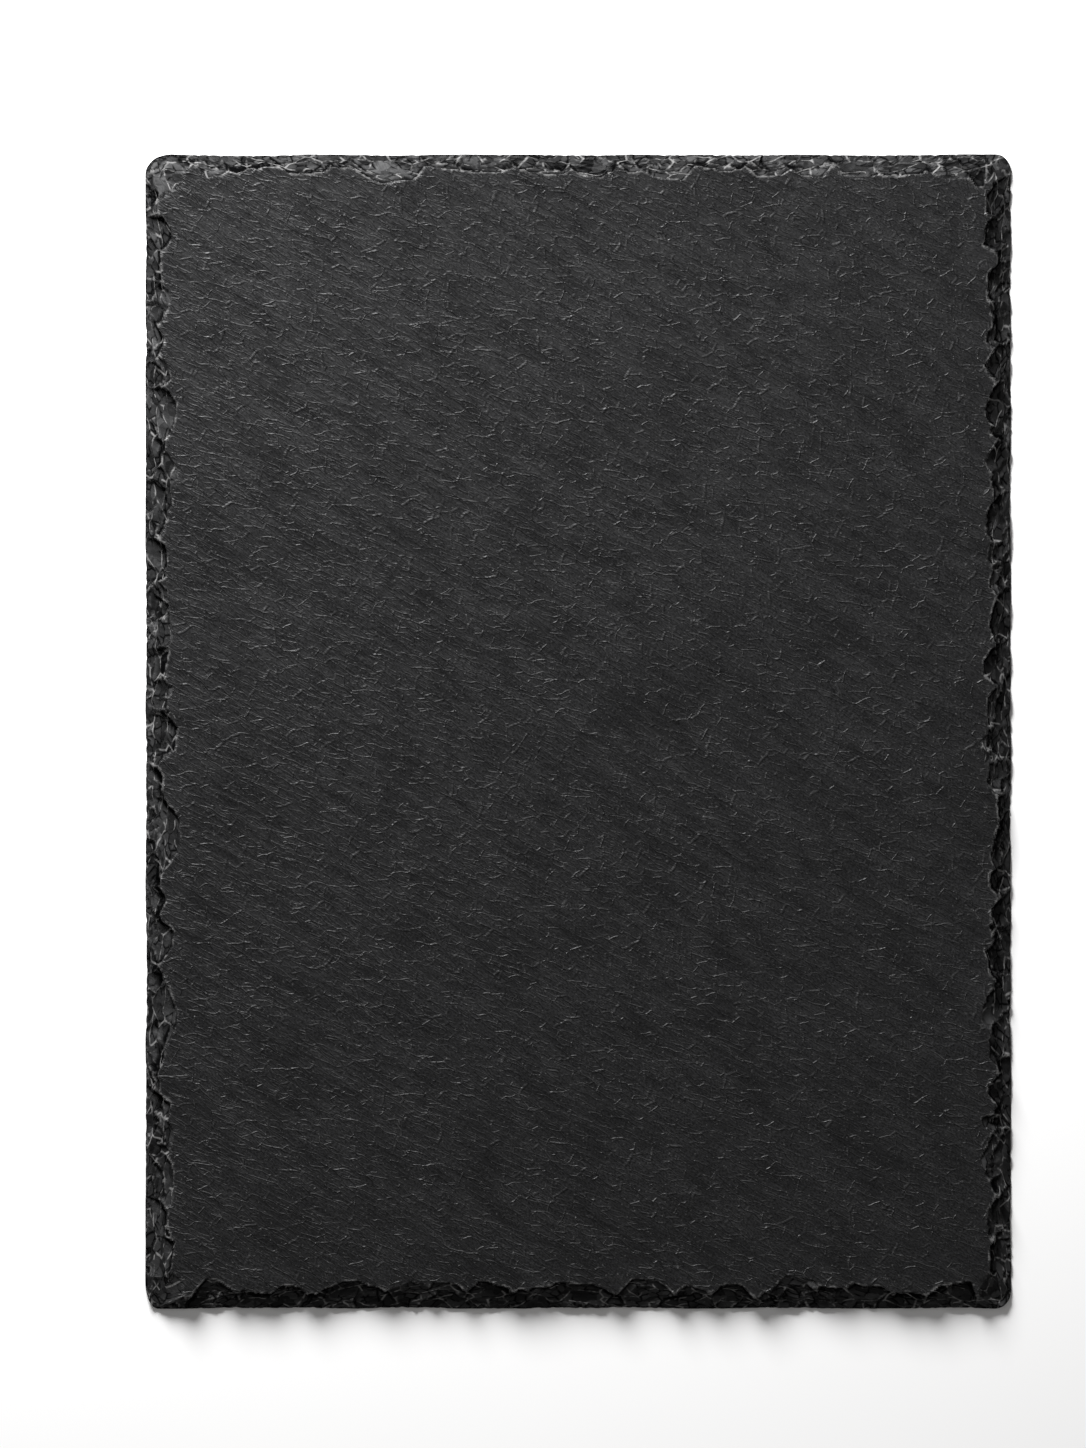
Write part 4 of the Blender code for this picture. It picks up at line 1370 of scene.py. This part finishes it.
@dataclass(frozen=True)
class SlateFinish:
    """Riven slate: near-black, wrinkled along the grain, with crests painted paler as wear and painted
    highlight, and painted shade in its dips and creases.

    Colours come first, then the sheen, the relief in millimetres, and the patches that each change
    comes and goes in. A ramp holds where it starts and ends, and its results there.
    """

    dark: Color = (0.0076, 0.0076, 0.0080)
    pale: Color = (0.0136, 0.0136, 0.0142)
    broken: Color = (0.0145, 0.0145, 0.0148)
    # Pale colour for worn crests and ridges, which also stands in for painted highlights on them.
    wear_and_highlight: Color = (0.190, 0.188, 0.186)
    # shade is the near-black of painted shade: it is laid in the grit's dips, in creases and hollows, and on
    # the steep walls of the broken stone.
    shade: Color = (0.0010, 0.0010, 0.0011)
    broken_roughness: float = 0.16
    crest_polish: float = 0.24
    gloss: float = 0.28
    layers: tuple[Crests, ...] = (
        Crests(Grain.RIPPLE, 6.0, 1.7, 6.0, 3.0, False, 2.6, 1.3, 0.085, 0.068, 0.28, 0.10),
        Crests(Grain.LENS, 9.0, 2.6, 10.0, 4.0, True, 2.6, 1.4, 0.080, 0.105, 0.36, 0.20),
        Crests(Grain.LENS, 14.0, 4.4, 16.0, 6.0, True, 2.8, 1.7, 0.055, 0.140, 0.44, 0.35),
        Crests(Grain.CRACK, 8.0, 4.4, 50.0, 3.6, True, 3.0, 1.9, 0.045, 0.210, 0.50, 0.70),
    )
    crest_fade: float = 0.15
    large_chips: Chips = Chips(10.5, 4.0, 1.5, 0.6, 0.06)
    small_chips: Chips = Chips(4.4, 2.0, 0.55, 0.25, 0.20)
    strip_bends: float = 4.0
    strip_wander: float = 2.4
    swell_height: float = 0.30
    swell: Patches = Patches(17.0, 2.8, 1.5, roughness=0.55)
    grit_height: float = 0.036
    grit: Patches = Patches(0.85, 0.55, 1.0)
    # Where the grit is low its colour is darkened toward shade: painted shade in its dips.
    shaded_dips: tuple[float, ...] = (0.30, 0.66, 0.85, 0.0)
    low_facets: tuple[float, ...] = (0.1, 0.6, 0.6, 0.0)
    mottle: Patches = Patches(30.0, 12.0, 4.0, (0.3, 0.7), distortion=0.5)
    # Patches where the face's crest lines are painted pale, as wear and painted highlight.
    line_wear_and_highlight: Patches = Patches(7.0, 4.0, 2.0, (0.40, 0.70, 0.03, 0.30))
    # Scattered pale specks: painted glints.
    glint_specks: Patches = Patches(1.1, 1.1, 1.0, (0.74, 0.80, 0.0, 0.2), roughness=0.5)
    # Patches where the dark lines along the small facets' borders show: painted shadow lines.
    crease_shade_patches: Patches = Patches(6.0, 6.0, 2.0, (0.42, 0.56))
    # Patches where the rim's ridges and crests are painted pale, as wear and painted highlight.
    edge_wear_and_highlight: Patches = Patches(3.4, 3.4, 2.0, (0.42, 0.64, 0.02, 0.95))
    polish: Patches = Patches(16.0, 7.0, 3.0, (0.3, 0.7, 0.40, 0.54), distortion=0.3)
    wrinkles_lost: float = 0.85
    bare: float = 0.8
    # How strongly painted shade and the random dark facets are laid on.
    painted_shade_share: float = 0.95
    # How pale the sharp ridges are painted, as wear and painted highlight.
    crest_wear_and_highlight: float = 0.6

    def _crests(self, tree: NodeTree, place: Socket, layer: Crests) -> tuple[Socket, Socket]:
        """One layer of crests.

        Args:
            tree: The material's tree.
            place: Object coordinates.
            layer: The crests' sizes.

        Returns:
            Their height in millimetres, which falls off smoothly on both sides of the cells' borders,
            and how pale their tops are painted, partly as wear and partly as painted highlight: up to 1
            along the middle of a crest.
        """
        turned = tree.turned(place, layer.grain)
        bent = tree.bent(turned, layer.bends, layer.wander)
        cells = tree.squeezed(bent, layer.cell_along, layer.cell_across)
        if layer.netted:
            away = tree.border(cells)
        else:
            away = tree.math("ABSOLUTE", tree.math("SUBTRACT", tree.noise(cells, 1.0), 0.5), 0.0)
        shown = (layer.shown, layer.shown + self.crest_fade)
        patches = Patches(layer.patch_along, layer.patch_across, 1.0, shown)
        crest = tree.product(tree.ramp(away, 0.0, layer.width, 1.0, 0.0), tree.patchy(turned, patches))
        # The crest's top is painted pale: partly wear, partly painted highlight.
        line = tree.product(tree.math("POWER", crest, 3.0), layer.pale)
        return tree.product(crest, layer.height), line

    def material(self) -> bpy.types.Material:
        """Build the node material.

        Returns:
            The slate's material, which reads Object coordinates and the slab's own point values.
        """
        made = bpy.data.materials.new("riven_slate")
        made.use_nodes = True
        tree = NodeTree(made.node_tree)
        place = tree.add("ShaderNodeTexCoord").outputs["Object"]
        ripple, lens, crack = (tree.turned(place, grain) for grain in (Grain.RIPPLE, Grain.LENS, Grain.CRACK))
        broken = tree.attribute("broken")
        whole = tree.math("SUBTRACT", 1.0, tree.product(broken, self.wrinkles_lost))

        wrinkles, lines = zip(*(self._crests(tree, place, layer) for layer in self.layers))
        strip = tree.bent(tree.attribute("strip", "Vector"), self.strip_bends, self.strip_wander)
        large, _, ridges = tree.chips(strip, self.large_chips)
        # creases here are the small facets' border lines, which are used below as painted shadow lines.
        small, level, creases = tree.chips(strip, self.small_chips)
        grit = tree.patchy(ripple, self.grit)
        relief = tree.math(
            "ADD",
            tree.product(tree.math("ADD", *wrinkles), whole),
            tree.product(tree.math("ADD", large, small), broken),
            tree.product(tree.patchy(crack, self.swell), self.swell_height),
            tree.product(grit, self.grit_height),
        )
        tree.bump(relief, MM)

        # Painted shade: dark lines along the small facets' borders in patches, the steep walls and the
        # hollows, with random dark facets among them.
        creases = tree.product(creases, tree.patchy(place, self.crease_shade_patches))
        shade_and_dark_facets = tree.highest(creases, tree.ramp(level, *self.low_facets), tree.attribute("steep"))
        shade_and_dark_facets = tree.highest(tree.product(shade_and_dark_facets, broken), tree.attribute("hollow"))
        # Sharp ridges and the large facets' borders are painted pale: partly wear, partly painted highlight.
        crest = tree.product(tree.attribute("crest"), self.crest_wear_and_highlight)
        edges = tree.highest(crest, tree.product(ridges, broken))
        color = self.dark
        for share, coat in (
            (tree.patchy(lens, self.mottle), self.pale),
            # Painted shade in the dips of the grit.
            (tree.product(tree.ramp(grit, *self.shaded_dips), whole), self.shade),
            (tree.product(broken, self.bare), self.broken),
            # The face's crest lines are painted pale: partly wear, partly painted highlight.
            (tree.product(tree.highest(*lines), whole, tree.patchy(ripple, self.line_wear_and_highlight)), self.wear_and_highlight),
            # Painted glints: scattered pale specks.
            (tree.patchy(place, self.glint_specks), self.wear_and_highlight),
            # Painted shade in creases and hollows and on steep walls, with random dark facets.
            (tree.product(shade_and_dark_facets, self.painted_shade_share), self.shade),
            # Ridges of the broken rim are painted pale: partly wear, partly painted highlight.
            (tree.product(edges, tree.patchy(place, self.edge_wear_and_highlight)), self.wear_and_highlight),
        ):
            color = tree.mix(share, color, coat)

        rough = tree.math("ADD", tree.patchy(lens, self.polish), tree.product(broken, self.broken_roughness))
        rough = tree.math("SUBTRACT", rough, tree.product(crest, self.crest_polish))
        # The sheen is taken away where shade is painted, so that the painted shade reads black.
        sheen = tree.product(tree.math("SUBTRACT", 1.0, shade_and_dark_facets), self.gloss)
        for name, socket in (("Base Color", color), ("Roughness", rough), ("Specular IOR Level", sheen)):
            tree.feed(tree.shader.inputs[name], socket)
        return made


@dataclass(frozen=True)
class Studio:
    """A pale floor, one large soft light from the far left, a dim room, and the camera above."""

    size: SlabSize
    frame_height: float = 500.0
    frame_middle: tuple[float, float] = (-12.2, 2.6)
    camera_height: float = 1800.0
    floor_half: float = 3000.0
    floor_color: Color = (0.95, 0.947, 0.943)
    key_azimuth: float = 110.0
    key_elevation: float = 28.5
    key_distance: float = 1.05
    key_size: float = 0.50
    key_power: float = 32.0
    key_color: Color = (0.99, 0.993, 1.0)
    room_strength: float = 0.21

    def floor(self) -> bpy.types.Object:
        """The floor, just touching the slab's underside."""
        half = self.floor_half * MM
        mesh = bpy.data.meshes.new("floor")
        corners = [(-half, -half, 0.0), (half, -half, 0.0), (half, half, 0.0), (-half, half, 0.0)]
        mesh.from_pydata(corners, [], [(0, 1, 2, 3)])
        made = placed("floor", mesh)
        material = bpy.data.materials.new("pale_floor")
        material.use_nodes = True
        shader = material.node_tree.nodes["Principled BSDF"]
        shader.inputs["Base Color"].default_value = (*self.floor_color, 1.0)
        shader.inputs["Roughness"].default_value = 0.9
        shader.inputs["Specular IOR Level"].default_value = 0.1
        mesh.materials.append(material)
        return made

    def lights(self) -> None:
        """The soft key light beyond the far left corner, and the even light of the room."""
        azimuth = math.radians(self.key_azimuth)
        elevation = math.radians(self.key_elevation)
        flat = math.cos(elevation)
        direction = Vector((flat * math.cos(azimuth), flat * math.sin(azimuth), math.sin(elevation)))
        lamp = bpy.data.lights.new("key", "AREA")
        lamp.shape = "DISK"
        lamp.size = self.key_size
        lamp.energy = self.key_power
        lamp.color = self.key_color
        key = placed("key", lamp)
        key.location = direction * self.key_distance
        key.rotation_euler = direction.to_track_quat("Z", "Y").to_euler()
        world = bpy.data.worlds.new("room")
        world.use_nodes = True
        room = world.node_tree.nodes["Background"]
        room.inputs["Color"].default_value = (1.0, 0.99, 0.98, 1.0)
        room.inputs["Strength"].default_value = self.room_strength
        bpy.context.scene.world = world

    def camera(self) -> bpy.types.Object:
        """The camera straight above, framed so that the slab lies where it does in the photograph."""
        data = bpy.data.cameras.new("camera")
        data.sensor_fit = "VERTICAL"
        data.sensor_height = 36.0
        data.lens = data.sensor_height * (self.camera_height - self.size.thickness) / self.frame_height
        made = placed("camera", data)
        made.location = (self.frame_middle[0] * MM, self.frame_middle[1] * MM, self.camera_height * MM)
        bpy.context.scene.camera = made
        return made

    def look(self) -> None:
        """Plain display of the light, with no film curve."""
        bpy.context.scene.view_settings.view_transform = "Standard"


def main() -> None:
    """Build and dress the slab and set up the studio."""
    logging.basicConfig(level=logging.INFO, format="%(name)s: %(message)s")
    size = SlabSize()
    outline = Outline(size)
    slab = SlateSlab(size, outline, RivenFace(size), FlakedRim(size, outline, SIDE_SCARS, CORNER_SCARS))
    piece = slab.build()
    piece.data.materials.append(SlateFinish().material())
    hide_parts(NODE)
    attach(piece, BODY)
    studio = Studio(size)
    studio.floor()
    studio.lights()
    studio.camera()
    studio.look()
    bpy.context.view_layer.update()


if __name__ == "__main__":
    main()
